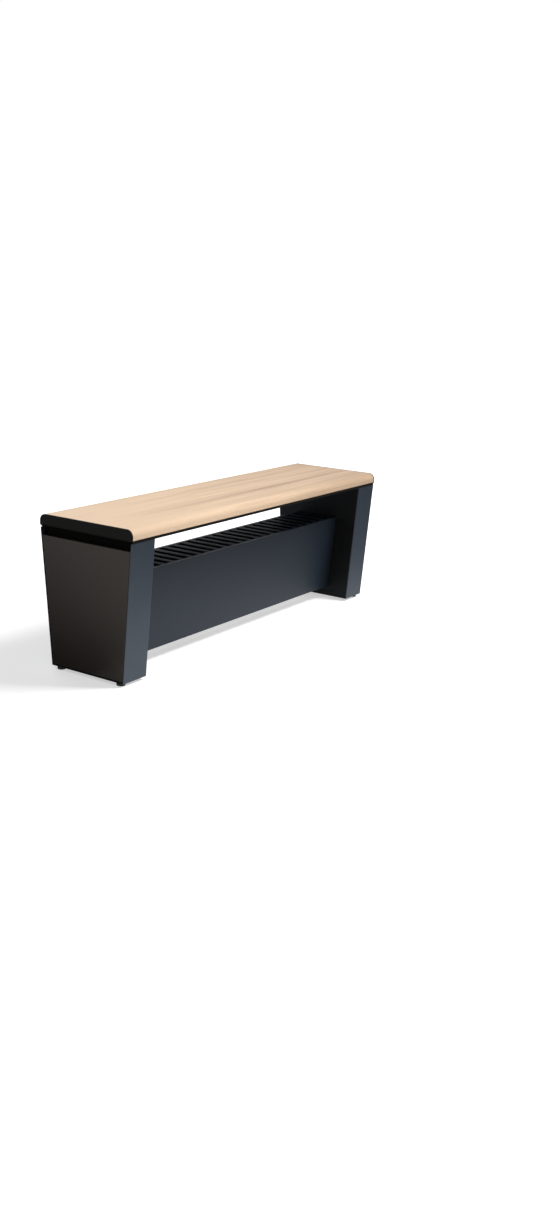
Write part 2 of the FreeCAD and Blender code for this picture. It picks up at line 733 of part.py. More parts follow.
def cradle_rivets():
    grip = CASING_SHEET + CRADLE_SHEET
    tail_top = grip + RIVET_TAIL
    outline = [
        (0, -RIVET_HEAD), (RIVET_HEAD_RADIUS, -RIVET_HEAD), (RIVET_HEAD_RADIUS, 0), (RIVET_RADIUS, 0),
        (RIVET_RADIUS, grip), (RIVET_TAIL_RADIUS, grip), (RIVET_TAIL_RADIUS, tail_top), (0, tail_top),
    ]
    return [turned(outline, Vector(x, y, casing_bottom), UP) for x, y in rivet_points()]


def header(z, face):
    """A brass bar that takes two tube ends and opens to a valve at one end."""
    half = HEADER_SIZE / 2
    end = header_end
    bar = box((-leg_middle - half, half - leg_middle), (-end, end), (z - half, z + half))
    port = Vector(-leg_middle, face * end, z)
    inwards = ACROSS * -face
    cuts = [rod(port, inwards, HEADER_BORE, 2 * header_end - HEADER_SOCKET)]
    cuts.append(rod(port, inwards, PIPE_THREAD_RADIUS + THREAD_GAP, PIPE_THREAD_LENGTH))
    for y in tube_sides:
        mouth = Vector(half - leg_middle, y, z)
        cuts.append(rod(mouth, ALONG * -1, TUBE_RADIUS + SOLDER_GAP, HEADER_SOCKET))
    return bar.cut(cuts)


def supply_header():
    seat = vent_point(-VENT_THREAD_LENGTH)
    return header(tube_high, REAR).cut(rod(seat, UP, VENT_THREAD_RADIUS + THREAD_GAP, VENT_THREAD_LENGTH))


def vent_point(height):
    return Vector(-leg_middle, tube_sides[0], tube_high + HEADER_SIZE / 2 + height)


def vent_body():
    thread = rod(vent_point(-VENT_THREAD_LENGTH), UP, VENT_THREAD_RADIUS, VENT_THREAD_LENGTH)
    collar = hexagon(vent_point(0), UP, VENT_FLATS, VENT_HEX)
    stack = rod(vent_point(VENT_HEX), UP, VENT_STACK_RADIUS, VENT_STACK)
    bore = rod(vent_point(0), UP, VENT_SCREW_RADIUS + TURNING_GAP, VENT_HEX + VENT_STACK)
    return thread.fuse([collar, stack]).cut(bore).removeSplitter()


def vent_screw():
    top = VENT_HEX + VENT_STACK + SHOULDER_GAP
    shank = rod(vent_point(SHOULDER_GAP), UP, VENT_SCREW_RADIUS, top - SHOULDER_GAP)
    middle = vent_point(top)
    half = VENT_KEY / 2
    key = box((middle.x - half, middle.x + half), (middle.y - half, middle.y + half),
              (middle.z, middle.z + VENT_KEY_HEIGHT))
    return shank.fuse(key)


def nipple(z, face):
    """A hexagon nipple that joins a header to a valve."""
    start = Vector(-leg_middle, face * (header_end - PIPE_THREAD_LENGTH), z)
    outwards = ACROSS * face
    length = NIPPLE_HEX + 2 * PIPE_THREAD_LENGTH
    hex_start = Vector(-leg_middle, face * header_end, z)
    body = rod(start, outwards, PIPE_THREAD_RADIUS, length)
    body = body.fuse(hexagon(hex_start, outwards, NIPPLE_FLATS, NIPPLE_HEX))
    return body.cut(rod(start, outwards, NIPPLE_BORE, length))


def valve_body(z, face, shoulder, neck_radius, neck, stem_radius):
    """An angle valve: pipe thread below, nipple thread at the side, a neck with a stem bore on top."""
    axis = Vector(-leg_middle, face * valve_distance, z)
    inwards = ACROSS * -face
    foot = axis - UP * VALVE_INLET
    mouth = axis + inwards * VALVE_BRANCH
    body = rod(foot, UP, VALVE_BARREL_RADIUS, VALVE_INLET + shoulder)
    body = body.fuse([rod(axis, inwards, VALVE_BRANCH_RADIUS, VALVE_BRANCH),
                      rod(axis + UP * shoulder, UP, neck_radius, neck)])
    cuts = [
        rod(foot, UP, PIPE_THREAD_RADIUS, PIPE_THREAD_LENGTH),
        rod(foot, UP, VALVE_WATERWAY, VALVE_INLET + VALVE_CHAMBER),
        rod(mouth, inwards * -1, PIPE_THREAD_RADIUS + THREAD_GAP, PIPE_THREAD_LENGTH),
        rod(mouth, inwards * -1, VALVE_SIDE_WATERWAY, VALVE_BRANCH),
        rod(axis, UP, stem_radius + TURNING_GAP, shoulder + neck),
    ]
    return body.cut(cuts).removeSplitter()


def supply_axis(height):
    return Vector(-leg_middle, REAR * valve_distance, tube_high + height)


def return_axis(height):
    return Vector(-leg_middle, FRONT * valve_distance, tube_low + height)


def supply_valve_body():
    return valve_body(tube_high, REAR, SUPPLY_SHOULDER, SUPPLY_NECK_RADIUS, SUPPLY_NECK, PIN_RADIUS)


def supply_valve_pin():
    length = PIN_DEPTH + SUPPLY_SHOULDER + SUPPLY_NECK + PIN_PROUD
    return rod(supply_axis(-PIN_DEPTH), UP, PIN_RADIUS, length)


def thermostat_ring():
    start = supply_axis(SUPPLY_SHOULDER + RING_LIFT)
    ring = rod(start, UP, RING_RADIUS, RING_HEIGHT)
    return ring.cut(rod(start, UP, SUPPLY_NECK_RADIUS + THREAD_GAP, RING_HEIGHT))


def thermostat_head():
    """A ribbed knob with a domed top, whose spigot turns in the clamp ring."""
    base = Vector(-leg_middle, REAR * valve_distance, knob_bottom)
    spigot_bottom = supply_axis(SUPPLY_SHOULDER + SUPPLY_NECK + SHOULDER_GAP)
    knob = rod(base, UP, KNOB_RADIUS, KNOB_HEIGHT)
    rims = [e for e in knob.Edges if e.CenterOfMass.z > knob_bottom + KNOB_HEIGHT / 2]
    knob = knob.makeFillet(KNOB_DOME_RADIUS, [e for e in rims if len(e.Vertexes) == 1])
    spigot = rod(spigot_bottom, UP, SUPPLY_NECK_RADIUS, knob_bottom - spigot_bottom.z)
    cuts = [rod(spigot_bottom, UP, KNOB_BORE_RADIUS, KNOB_BORE)]
    for i in range(KNOB_GROOVES):
        angle = 2 * math.pi * i / KNOB_GROOVES
        rim = Vector(KNOB_RADIUS * math.cos(angle), KNOB_RADIUS * math.sin(angle), 0)
        cuts.append(rod(base + rim, UP, KNOB_GROOVE_RADIUS, KNOB_GROOVE_LENGTH))
    return knob.fuse(spigot).cut(cuts).removeSplitter()


def return_valve_body():
    return valve_body(tube_low, FRONT, RETURN_SHOULDER, RETURN_NECK_RADIUS, RETURN_NECK, SPINDLE_RADIUS)


def return_spindle():
    length = SPINDLE_DEPTH + RETURN_SHOULDER + RETURN_NECK + SPINDLE_PROUD
    top = return_axis(length - SPINDLE_DEPTH)
    socket = hexagon(top, DOWN, SPINDLE_SOCKET_FLATS, SPINDLE_SOCKET_DEPTH)
    return rod(return_axis(-SPINDLE_DEPTH), UP, SPINDLE_RADIUS, length).cut(socket)


def return_cap():
    start = return_axis(RETURN_SHOULDER)
    room = RETURN_NECK + SPINDLE_PROUD + CAP_ROOM
    inside = RETURN_NECK_RADIUS + THREAD_GAP
    cup = rod(start, UP, inside + CAP_WALL, room + CAP_WALL)
    rims = [e for e in cup.Edges if len(e.Vertexes) == 1 and e.CenterOfMass.z > start.z + room]
    return cup.makeFillet(CAP_WALL / 2, rims).cut(rod(start, UP, inside, room))


def all_nodes():
    """Every sub-part by node name, as a solid or a list of solids."""
    nodes = {
        "seat_plate": seat_plate(),
        "seat_board_front": seat_board(FRONT),
        "seat_board_rear": seat_board(REAR),
        "seat_board_screws": board_screws(),
        "seat_bolts": seat_bolts(),
        "seat_inserts": seat_inserts(),
        "panel_buffers": panel_buffers(),
        "foot_nuts": foot_nuts(),
        "casing_bolts": casing_bolts(),
        "casing_nuts": casing_nuts(),
        "grille_frame": grille_frame(),
        "grille_slats": grille_slats(),
        "exchanger_fins": exchanger_fins(),
        "exchanger_end_plates": exchanger_end_plates(),
        "exchanger_cradles": exchanger_cradles(),
        "cradle_rivets": cradle_rivets(),
        "supply_header": supply_header(),
        "return_header": header(tube_low, FRONT),
        "supply_nipple": nipple(tube_high, REAR),
        "return_nipple": nipple(tube_low, FRONT),
        "vent_body": vent_body(),
        "vent_screw": vent_screw(),
        "supply_valve_body": supply_valve_body(),
        "supply_valve_pin": supply_valve_pin(),
        "thermostat_ring": thermostat_ring(),
        "thermostat_head": thermostat_head(),
        "return_valve_body": return_valve_body(),
        "return_spindle": return_spindle(),
        "return_cap": return_cap(),
    }
    for name, side in SIDES.items():
        nodes["leg_shell_" + name] = leg_shell(side)
        nodes["leg_head_" + name] = leg_head(side)
        nodes["leg_base_" + name] = leg_base(side)
        nodes["end_panel_" + name] = end_panel(side)
        nodes["panel_hooks_" + name] = panel_hooks(side)
        for end, face in FACES.items():
            nodes[f"foot_pad_{end}_{name}"] = foot_pad(side, face)
            nodes[f"foot_stud_{end}_{name}"] = foot_stud(side, face)
    for name, face in FACES.items():
        nodes["casing_" + name] = casing_panel(face)
        nodes["exchanger_tube_" + name] = exchanger_tube(face * TUBE_SPREAD / 2)
    return nodes


def main():
    os.makedirs("parts", exist_ok=True)
    for name, shape in all_nodes().items():
        solids = shape if isinstance(shape, list) else shape.Solids
        node = solids[0] if len(solids) == 1 else Part.makeCompound(solids)
        node.exportStep(f"parts/{name}.step")
        valid = all(solid.isValid() for solid in solids)
        print(f"{name}: {len(solids)} solids, valid {valid}, {node.Volume / 1000:.1f} cm3")


main()
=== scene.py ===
# %% [markdown]
# # A heated bench
# The bench is a wooden seat on two hollow steel legs, and a convector casing hangs between the legs
# under the seat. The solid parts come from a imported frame, at their real size and place. This lesson
# dresses that frame: it gives each surface its finish, makes again the pieces whose edges and folds
# need finer shapes, and sets a plain studio round them.

# %% Load the frame
import bmesh
import bpy
import json
import math
from mathutils import Matrix, Vector


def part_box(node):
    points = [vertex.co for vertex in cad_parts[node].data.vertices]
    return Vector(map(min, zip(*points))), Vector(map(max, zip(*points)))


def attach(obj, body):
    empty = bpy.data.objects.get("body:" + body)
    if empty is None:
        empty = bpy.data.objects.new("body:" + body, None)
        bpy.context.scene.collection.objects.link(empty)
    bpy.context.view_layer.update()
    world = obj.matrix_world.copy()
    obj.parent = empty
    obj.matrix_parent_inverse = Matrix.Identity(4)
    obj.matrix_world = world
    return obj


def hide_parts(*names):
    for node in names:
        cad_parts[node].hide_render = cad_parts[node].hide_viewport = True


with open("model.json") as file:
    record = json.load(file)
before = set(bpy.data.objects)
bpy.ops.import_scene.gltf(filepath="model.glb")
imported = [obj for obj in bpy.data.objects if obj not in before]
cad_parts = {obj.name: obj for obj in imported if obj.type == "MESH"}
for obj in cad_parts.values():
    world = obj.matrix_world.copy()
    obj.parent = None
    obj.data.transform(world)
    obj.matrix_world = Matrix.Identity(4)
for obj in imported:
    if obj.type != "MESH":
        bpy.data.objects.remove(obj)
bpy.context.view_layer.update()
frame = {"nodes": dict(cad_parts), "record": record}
nodes = frame["nodes"]

# %% [markdown]
# ## Camera
# The bench is seen from its front left, a little above the seat. The view was found by fitting the
# corners of the bench to the picture, which gives an angle, a distance, a slight roll and a focal
# length counted in pixels of the picture. A camera's own axes are columns of its matrix, so the
# matrix is built from the view direction instead of from turning angles.

# %% Camera
PICTURE_HEIGHT_PIXELS = 1216
FOCAL_PIXELS = 1194.1
SENSOR = 36.0
VIEW_AZIMUTH = math.radians(-55.885)
VIEW_ELEVATION = math.radians(15.765)
VIEW_ROLL = math.radians(1.708)
VIEW_DISTANCE = 4.2323
VIEW_TARGET = Vector((0.3324, 0.0, -0.0026))


def place_camera():
    back = Vector((
        math.sin(VIEW_AZIMUTH) * math.cos(VIEW_ELEVATION),
        -math.cos(VIEW_AZIMUTH) * math.cos(VIEW_ELEVATION),
        math.sin(VIEW_ELEVATION),
    ))
    level_right = Vector((0, 0, 1)).cross(back).normalized()
    level_up = back.cross(level_right)
    right = level_right * math.cos(VIEW_ROLL) + level_up * math.sin(VIEW_ROLL)
    up = level_up * math.cos(VIEW_ROLL) - level_right * math.sin(VIEW_ROLL)
    data = bpy.data.cameras.new("view")
    data.sensor_width = SENSOR
    data.lens = FOCAL_PIXELS * SENSOR / PICTURE_HEIGHT_PIXELS
    camera = bpy.data.objects.new("view", data)
    camera.matrix_world = Matrix((right, up, back)).transposed().to_4x4()
    camera.location = VIEW_TARGET + back * VIEW_DISTANCE
    bpy.context.scene.collection.objects.link(camera)
    bpy.context.scene.camera = camera
    return camera


view_camera = place_camera()
print(f"camera at {list(view_camera.location)}, lens {view_camera.data.lens:.2f} mm")

# %% [markdown]
# ## Trees of nodes
# Shaders and Geometry Nodes are both trees, and building one call by call gets long. A small class
# wraps an output socket, so that sums and products of sockets can be written as Python expressions.
# A second one wraps a tree and has a single method that adds any node, sets it up and feeds it.

# %% Node helpers
class Signal:
    """An output socket that takes part in Python maths by adding Math nodes to its tree."""

    def __init__(self, tree, socket):
        self.tree = tree
        self.socket = socket

    def maths(self, operation, first, second):
        return self.tree.node(self.tree.math_kind, {"operation": operation}, {0: first, 1: second})

    def __add__(self, other):
        return self.maths("ADD", self, other)

    def __sub__(self, other):
        return self.maths("SUBTRACT", self, other)

    def __rsub__(self, other):
        return self.maths("SUBTRACT", other, self)

    def __mul__(self, other):
        return self.maths("MULTIPLY", self, other)

    def __truediv__(self, other):
        return self.maths("DIVIDE", self, other)

    def __pow__(self, other):
        return self.maths("POWER", self, other)

    __radd__ = __add__
    __rmul__ = __mul__


class Tree:
    """A node tree with one method that adds any node."""

    math_kind = "ShaderNodeMath"

    def __init__(self, tree):
        self.tree = tree

    def node(self, kind, settings=None, sockets=None, output=0):
        made = self.tree.nodes.new(kind)
        for name, value in (settings or {}).items():
            if name == "stops":
                set_stops(made.color_ramp, value)
            else:
                setattr(made, name, value)
        for key, value in (sockets or {}).items():
            self.feed(made.inputs[key], value)
        return Signal(self, made.outputs[output])

    def feed(self, socket, value):
        if isinstance(value, Signal):
            self.tree.links.new(value.socket, socket)
        else:
            socket.default_value = value

    def blend(self, factor, first, second):
        """A colour between two colours. A Mix node counts its colour sockets after the others."""
        return self.node("ShaderNodeMix", {"data_type": "RGBA"}, {
            0: factor, 6: opaque(first), 7: opaque(second)}, output=2)


def set_stops(ramp, stops):
    """Gives a colour ramp its grey stops as (position, value) pairs."""
    while len(ramp.elements) < len(stops):
        ramp.elements.new(1.0)
    for element, (position, value) in zip(ramp.elements, stops):
        element.position = position
        element.color = opaque(grey(value))


def grey(value):
    return (value, value, value)


def opaque(colour):
    """A colour with an alpha of one, or a signal as it is."""
    return colour if isinstance(colour, Signal) else (*colour[:3], 1)


print("node helpers:", Signal.__name__, "and", Tree.__name__)

# %% [markdown]
# ## Materials
# A finish is one Principled shader whose sockets are fed by a few textures. A material is a tree too, so
# its class only adds short ways to the nodes that all finishes share: coordinates, noise, ramps and
# bumps. They read Object coordinates, which are metres in the bench's own frame, so a pattern has the
# same scale on every piece.

# %% Material helper
class Finish(Tree):
    """A new material with one Principled shader."""

    def __init__(self, name):
        self.material = bpy.data.materials.new(name)
        self.material.use_nodes = True
        super().__init__(self.material.node_tree)
        self.shader = self.tree.nodes["Principled BSDF"]

    def set(self, **values):
        for name, value in values.items():
            self.feed(self.shader.inputs[name.replace("_", " ")], value)

    def place(self, scale=(1, 1, 1), location=(0, 0, 0), rotation=(0, 0, 0)):
        """Object coordinates in metres, moved, turned and stretched."""
        here = self.node("ShaderNodeTexCoord", output="Object")
        return self.node("ShaderNodeMapping", None, {
            "Vector": here, "Location": location, "Rotation": rotation, "Scale": scale})

    def noise(self, vector, scale=1.0, detail=2.0, roughness=0.5):
        return self.node("ShaderNodeTexNoise", None, {
            "Vector": vector, "Scale": scale, "Detail": detail, "Roughness": roughness})

    def ramp(self, value, stops):
        return self.node("ShaderNodeValToRGB", {"stops": stops}, {0: value})

    def measure(self, operation, *vectors):
        """A number from vectors, such as a length or a dot product."""
        return self.node("ShaderNodeVectorMath", {"operation": operation},
                         dict(enumerate(vectors)), output="Value")

    def bump(self, height, depth, strength):
        self.set(Normal=self.node("ShaderNodeBump", None, {
            "Height": height, "Distance": depth, "Strength": strength}))


print("material helper:", Finish.__name__)

# %% [markdown]
# ## Oak
# The seat is light oak under a satin oil. A plank is cut from a log, so its figure is a slice
# through rings about a line, the pith. Measuring the distance to a line beside the board and
# repeating it gives those rings, and they run in long flames because the line is tilted a little.
# Noise stretched along the grain adds streaks and fibres, and a sharper one adds the short dark pores
# of oak. The two boards meet at the sides that lay nearest the heart of the tree, so a browner streak
# runs along the joint. Each board has its own pith, so the two boards don't share a figure. All of it
# adds up to one tone between a light and a dark colour, and a painted shade darkens the wood towards the
# right end.

# %% Grain of the oak
RINGS_PER_METRE = 190
RING_WAVER = 0.020
HEART_REACH = 0.018
HEART_WAVER = 0.012
HEART_AT_MIDDLE = 0.90
# Each noise is squeezed by these factors along X, Y and Z, so it runs long along the board.
LOG_GRAIN = (0.02, 1, 1)
WAVER_GRAIN = (1.6, 9, 9)
DRIFT_GRAIN = (1.3, 15, 15)
STREAK_GRAIN = (2.4, 60, 60)
FIBRE_GRAIN = (7, 420, 420)
PORE_GRAIN = (75, 1700, 1700)
# A ramp turns what it reads into an amount of dark, by stops of (position, amount).
YEAR_STOPS = ((0.0, 0.3), (0.12, 0.0), (0.55, 0.2), (0.9, 1.0), (1.0, 0.3))
HEART_STOPS = ((0.0, 1.0), (0.25, 0.55), (1.0, 0.0))
STREAK_STOPS = ((0.34, 0.0), (0.66, 1.0))
DRIFT_STOPS = ((0.33, 0.0), (0.67, 1.0))
PORE_STOPS = ((0.60, 0.0), (0.72, 1.0))
board_joint = (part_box("seat_board_front")[1].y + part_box("seat_board_rear")[0].y) / 2


def late_wood(wood, pith, tilt, waver):
    """The dark part of each year's ring, by its distance from the pith."""
    radius = wood.measure("LENGTH", wood.place(LOG_GRAIN, pith, tilt))
    rings = (radius + waver * RING_WAVER) * RINGS_PER_METRE
    year = wood.node("ShaderNodeMath", {"operation": "FRACT"}, {0: rings})
    return wood.ramp(year, YEAR_STOPS)


def heart_streak(wood, along, waver):
    """The browner streak on both sides of the joint, which fades towards the left end."""
    beside = wood.node("ShaderNodeSeparateXYZ", None, {0: wood.place()}, output="Y") - board_joint
    wavering = beside + (waver - 0.5) * HEART_WAVER
    apart = wood.node("ShaderNodeMath", {"operation": "ABSOLUTE"}, {0: wavering})
    return wood.ramp(apart / HEART_REACH, HEART_STOPS) * (along + HEART_AT_MIDDLE)


print(f"oak grain: {RINGS_PER_METRE} rings per metre, heart along y = {board_joint:.4f}")

# %% Oak
OAK_LIGHT = (0.660, 0.488, 0.344)
OAK_DARK = (0.360, 0.256, 0.174)
OAK_PORE = (0.300, 0.195, 0.120)
OAK_REFLECTION = 0.04
OAK_ROUGHNESS = 0.38
FIBRE_ROUGHENS = 0.12
PORES_ROUGHEN = 0.3
FIBRE_RELIEF = 0.4
LATE_RELIEF = 0.25
RELIEF_DEPTH = 0.00025
RELIEF_STRENGTH = 0.35
PORE_DENSITY = 0.42
LIGHTEST_TONE = -0.18
# Weights of the figure; the "along" weight is painted shade that darkens the wood towards the right end.
FIGURE_AND_PAINTED_SHADE = {"late": 0.18, "streak": 0.34, "drift": 0.28, "fibre": 0.32, "heart": 0.66, "along": 0.80}


def oak(name, pith, tilt):
    wood = Finish(name)
    along = wood.node("ShaderNodeSeparateXYZ", None, {0: wood.place()}, output="X")
    waver = wood.noise(wood.place(WAVER_GRAIN, pith), detail=3)
    late = late_wood(wood, pith, tilt, waver)
    fibre = wood.noise(wood.place(FIBRE_GRAIN), detail=4, roughness=0.6)
    streak = wood.noise(wood.place(STREAK_GRAIN, pith), detail=4, roughness=0.65)
    drift = wood.noise(wood.place(DRIFT_GRAIN, pith))
    pores = wood.ramp(wood.noise(wood.place(PORE_GRAIN), detail=1), PORE_STOPS)
    figure = {
        "late": late,
        "streak": wood.ramp(streak, STREAK_STOPS),
        "drift": wood.ramp(drift, DRIFT_STOPS),
        "fibre": fibre,
        "heart": heart_streak(wood, along, waver),
        "along": along,
    }
    tone = sum((figure[part] * weight for part, weight in FIGURE_AND_PAINTED_SHADE.items()), LIGHTEST_TONE)
    open_pores = pores * (1 - late) * PORE_DENSITY
    wood.set(Base_Color=wood.blend(open_pores, wood.blend(tone, OAK_LIGHT, OAK_DARK), OAK_PORE),
             Roughness=OAK_ROUGHNESS + fibre * FIBRE_ROUGHENS + open_pores * PORES_ROUGHEN,
             Specular_IOR_Level=OAK_REFLECTION)
    wood.bump(fibre * FIBRE_RELIEF + late * LATE_RELIEF - open_pores, RELIEF_DEPTH, RELIEF_STRENGTH)
    return wood.material


oak_front = oak("oak front board", (0.0, 0.190, -0.355), (0, 0.010, 0.022))
oak_rear = oak("oak rear board", (0.0, -0.085, -0.335), (0, -0.012, -0.018))
print("oak: two boards with their own figure")

# %% [markdown]
# ## Powder coat
# The sheet steel is powder coated. The powder melts into a skin that isn't quite level: it has a
# fine grain and, under that, the slow swell known as orange peel. Both are noise that feeds a bump,
# and the fine one also breaks up the gloss a little. The legs are a cold blue black. The casing and
# the grille, in the shade of the seat, get a darker, less glossy copy of that coat as painted shade,
# the grille's gloss lower again. The seat plate is black, the sides of the legs next to the casing get a
# black coat as painted shade, the black leg heads in the recess under the seat are darkened further into
# nearly matte painted shade, and the end panels are a warmer brown black.

# %% Powder coat
BODY_BLUE_BLACK = (0.014, 0.020, 0.030)
# The casing's colour is the legs' blue black darkened, as painted shade of the seat above it.
CASING_SHADED_BLUE_BLACK = (0.0098, 0.0140, 0.0210)
SEAT_BLACK = (0.0060, 0.0055, 0.0050)
# The leg heads are black, and this colour is darker still as painted shade of the recess under the seat.
RECESS_BLACK_AND_SHADE = (0.0030, 0.0028, 0.0025)
PANEL_BROWN_BLACK = (0.0120, 0.0090, 0.0070)
NEUTRAL_SHEEN = (1.0, 1.0, 1.0)
COLD_SHEEN = (0.72, 0.85, 1.0)
WARM_SHEEN = (1.0, 0.92, 0.85)
GRAIN_SCALE = 1500
PEEL_SCALE = 210
CLOUD_SCALE = 7
CLOUD_SHADES = (0.85, 1.15)
CLOUD_ROUGHENS = 0.08
GRAIN_ROUGHENS = 0.06
GRAIN_RELIEF = 0.35
PEEL_DEPTH = 0.00012
PEEL_STRENGTH = 0.5


def shades(colour, factors):
    """A darker and a lighter shade of a colour."""
    return [tuple(channel * factor for channel in colour) for factor in factors]


def powder_coat(name, colour, roughness, reflection, tint=NEUTRAL_SHEEN):
    coat = Finish(name)
    here = coat.place()
    grain = coat.noise(here, GRAIN_SCALE, detail=1)
    peel = coat.noise(here, PEEL_SCALE)
    cloud = coat.noise(here, CLOUD_SCALE, detail=3)
    coat.set(Base_Color=coat.blend(cloud, *shades(colour, CLOUD_SHADES)),
             Roughness=roughness + (cloud - 0.5) * CLOUD_ROUGHENS + (grain - 0.5) * GRAIN_ROUGHENS,
             Specular_IOR_Level=reflection, Specular_Tint=opaque(tint))
    coat.bump(grain * GRAIN_RELIEF + peel, PEEL_DEPTH, PEEL_STRENGTH)
    return coat.material


body_paint = powder_coat("blue black powder coat", BODY_BLUE_BLACK, 0.42, 0.62, COLD_SHEEN)
# Casing and grille coats are darker, duller copies of the body coat: painted shade under the seat.
casing_paint_with_painted_shade = powder_coat("casing powder coat", CASING_SHADED_BLUE_BLACK, 0.44, 0.26, COLD_SHEEN)
grille_paint_with_painted_shade = powder_coat("grille powder coat", CASING_SHADED_BLUE_BLACK, 0.55, 0.06, COLD_SHEEN)
seat_black = powder_coat("black powder coat", SEAT_BLACK, 0.50, 0.08)
# A black coat for the inner sides of the legs: painted shade of the space under the seat.
inner_side_painted_shade = powder_coat("inner side powder coat", SEAT_BLACK, 0.50, 0.14, COLD_SHEEN)
# A nearly matte, very dark coat for the leg heads: their black, plus painted shade of the recess.
recess_black_and_shade = powder_coat("recess black", RECESS_BLACK_AND_SHADE, 0.70, 0.02)
panel_paint = powder_coat("brown black powder coat", PANEL_BROWN_BLACK, 0.34, 0.36, WARM_SHEEN)
print("powder coat: seven finishes")

# %% [markdown]
# ## Bare metals
# Behind the paint are bare metals: zinc on the fasteners, aluminium fins, copper tubes and brass
# fittings. A metal has no colour under its reflection, so its base colour is the reflection itself.
# Handling and drawing leave it cloudy, which is a change of roughness more than of colour.

# %% Bare metals
METALS = {
    "zinc_steel": ((0.60, 0.61, 0.63), 0.38),
    "fin_aluminium": ((0.76, 0.77, 0.78), 0.34),
    "copper": ((0.72, 0.37, 0.23), 0.30),
    "valve_brass": ((0.70, 0.54, 0.27), 0.28),
}
TARNISH_SCALE = 45
TARNISH_SHADES = (0.92, 1.05)
TARNISH_ROUGHENS = 0.14
DRAWN_GRAIN = (25, 900, 900)
DRAWN_ROUGHENS = 0.08
DRAWN_DEPTH = 0.00004
DRAWN_STRENGTH = 0.4


def bare_metal(name, colour, roughness):
    metal = Finish(name)
    tarnish = metal.noise(metal.place(), TARNISH_SCALE, detail=4, roughness=0.6)
    drawn = metal.noise(metal.place(DRAWN_GRAIN))
    metal.set(Base_Color=metal.blend(tarnish, *shades(colour, TARNISH_SHADES)),
              Metallic=1.0,
              Roughness=roughness + (tarnish - 0.5) * TARNISH_ROUGHENS + (drawn - 0.5) * DRAWN_ROUGHENS)
    metal.bump(drawn, DRAWN_DEPTH, DRAWN_STRENGTH)
    return metal.material


finishes = {slot: bare_metal(slot.replace("_", " "), *facts) for slot, facts in METALS.items()}
print("metals:", ", ".join(finishes))

# %% [markdown]
# ## Rubber and plastic
# The feet and buffers are moulded black rubber, and the valve head, cap and ring are plastic.
# Moulded surfaces carry the fine spark texture of their mould, which is a noise bump, stronger and
# duller on rubber than on plastic.

# %% Rubber and plastic
MOULDINGS = {
    "black_rubber": ((0.018, 0.018, 0.018), 0.78, 0.6),
    "white_plastic": ((0.80, 0.80, 0.77), 0.36, 0.2),
    "ring_plastic": ((0.10, 0.10, 0.10), 0.50, 0.3),
}
SPARK_SCALE = 1800
SPARK_DEPTH = 0.00008
SPARK_ROUGHENS = 0.12
FLOW_SCALE = 30
FLOW_SHADES = (0.9, 1.1)


def moulding(name, colour, roughness, texture):
    mould = Finish(name)
    spark = mould.noise(mould.place(), SPARK_SCALE)
    flow = mould.noise(mould.place(), FLOW_SCALE)
    mould.set(Base_Color=mould.blend(flow, *shades(colour, FLOW_SHADES)),
              Roughness=roughness + (spark - 0.5) * SPARK_ROUGHENS)
    mould.bump(spark, SPARK_DEPTH, texture)
    return mould.material


for slot, facts in MOULDINGS.items():
    finishes[slot] = moulding(slot.replace("_", " "), *facts)
finishes.update(body_paint=body_paint, seat_black=seat_black, panel_paint=panel_paint, oak=oak_rear)
print("finishes for every slot:", len(finishes))

# %% [markdown]
# ## Finishes on the frame
# Every solid of the frame names a material slot in its record. Handing each node the finish of its
# slot dresses the whole bench at once, and the pieces that are made again below use the same slots.

# %% Finishes on the frame
slot_of = {part["node"]: part["material_slot"] for part in frame["record"]["subparts"]}
for name, node in nodes.items():
    for material_slot in node.material_slots:
        material_slot.material = finishes[slot_of[name]]
print("dressed", len(slot_of), "nodes")

# %% [markdown]
# ## Pieces that stand for a node
# A piece that is made again takes the place of its node: it rides on the node's body, takes the
# material it is given, and hides the node. One helper does that for all of them, so no piece is forgotten.
# Two more make a mesh from loose faces and round its edges, because no real edge is quite sharp.

# %% Standing for a node
SHARP_ANGLE = math.radians(35)
SAME_POINT = 1e-6
BEVEL_SEGMENTS = 2
FLAT_WEIGHT = 100
bodies = frame["record"]["behaviour"]["bodies"]
body_of = {node: body for body, members in bodies.items() for node in members}


def new_piece(name, mesh, material, node):
    """Links a mesh as an object that stands for a node of the frame."""
    mesh.materials.clear()
    mesh.materials.append(material)
    piece = bpy.data.objects.new(name, mesh)
    bpy.context.scene.collection.objects.link(piece)
    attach(piece, body_of[node])
    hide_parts(node)
    return piece


def ease_edges(piece, width):
    """Rounds every sharp edge of a piece a little, and keeps the shading of its flats flat."""
    bevel = piece.modifiers.new("eased edges", "BEVEL")
    bevel.limit_method = "ANGLE"
    bevel.angle_limit = SHARP_ANGLE
    bevel.width = width
    bevel.segments = BEVEL_SEGMENTS
    flats = piece.modifiers.new("flat faces stay flat", "WEIGHTED_NORMAL")
    flats.mode = "FACE_AREA"
    flats.weight = FLAT_WEIGHT
    piece.data.shade_smooth()
    return piece


def mesh_from(name, build):
    """Makes a mesh from a function that fills a bmesh, with its faces turned outwards."""
    shape = bmesh.new()
    build(shape)
    bmesh.ops.remove_doubles(shape, verts=shape.verts, dist=SAME_POINT)
    bmesh.ops.recalc_face_normals(shape, faces=shape.faces)
    mesh = bpy.data.meshes.new(name)
    shape.to_mesh(mesh)
    shape.free()
    return mesh


print("bodies:", len(bodies), "for", len(body_of), "nodes")

# %% [markdown]
# ## Seat boards
# Two boards make the seat, and a fine joint line runs between them. Their outer top edges are
# rounded by a router and all other edges are only eased. The section is the same from end to end,
# so each board is that section drawn once and pulled along the bench. The round needs more points
# than a drawing for machining has, because light shows every flat on it.

# %% Seat boards
BOARD_ROUND = 0.020
BOARD_ARC_POINTS = 20
BOARD_EASE = 0.0009


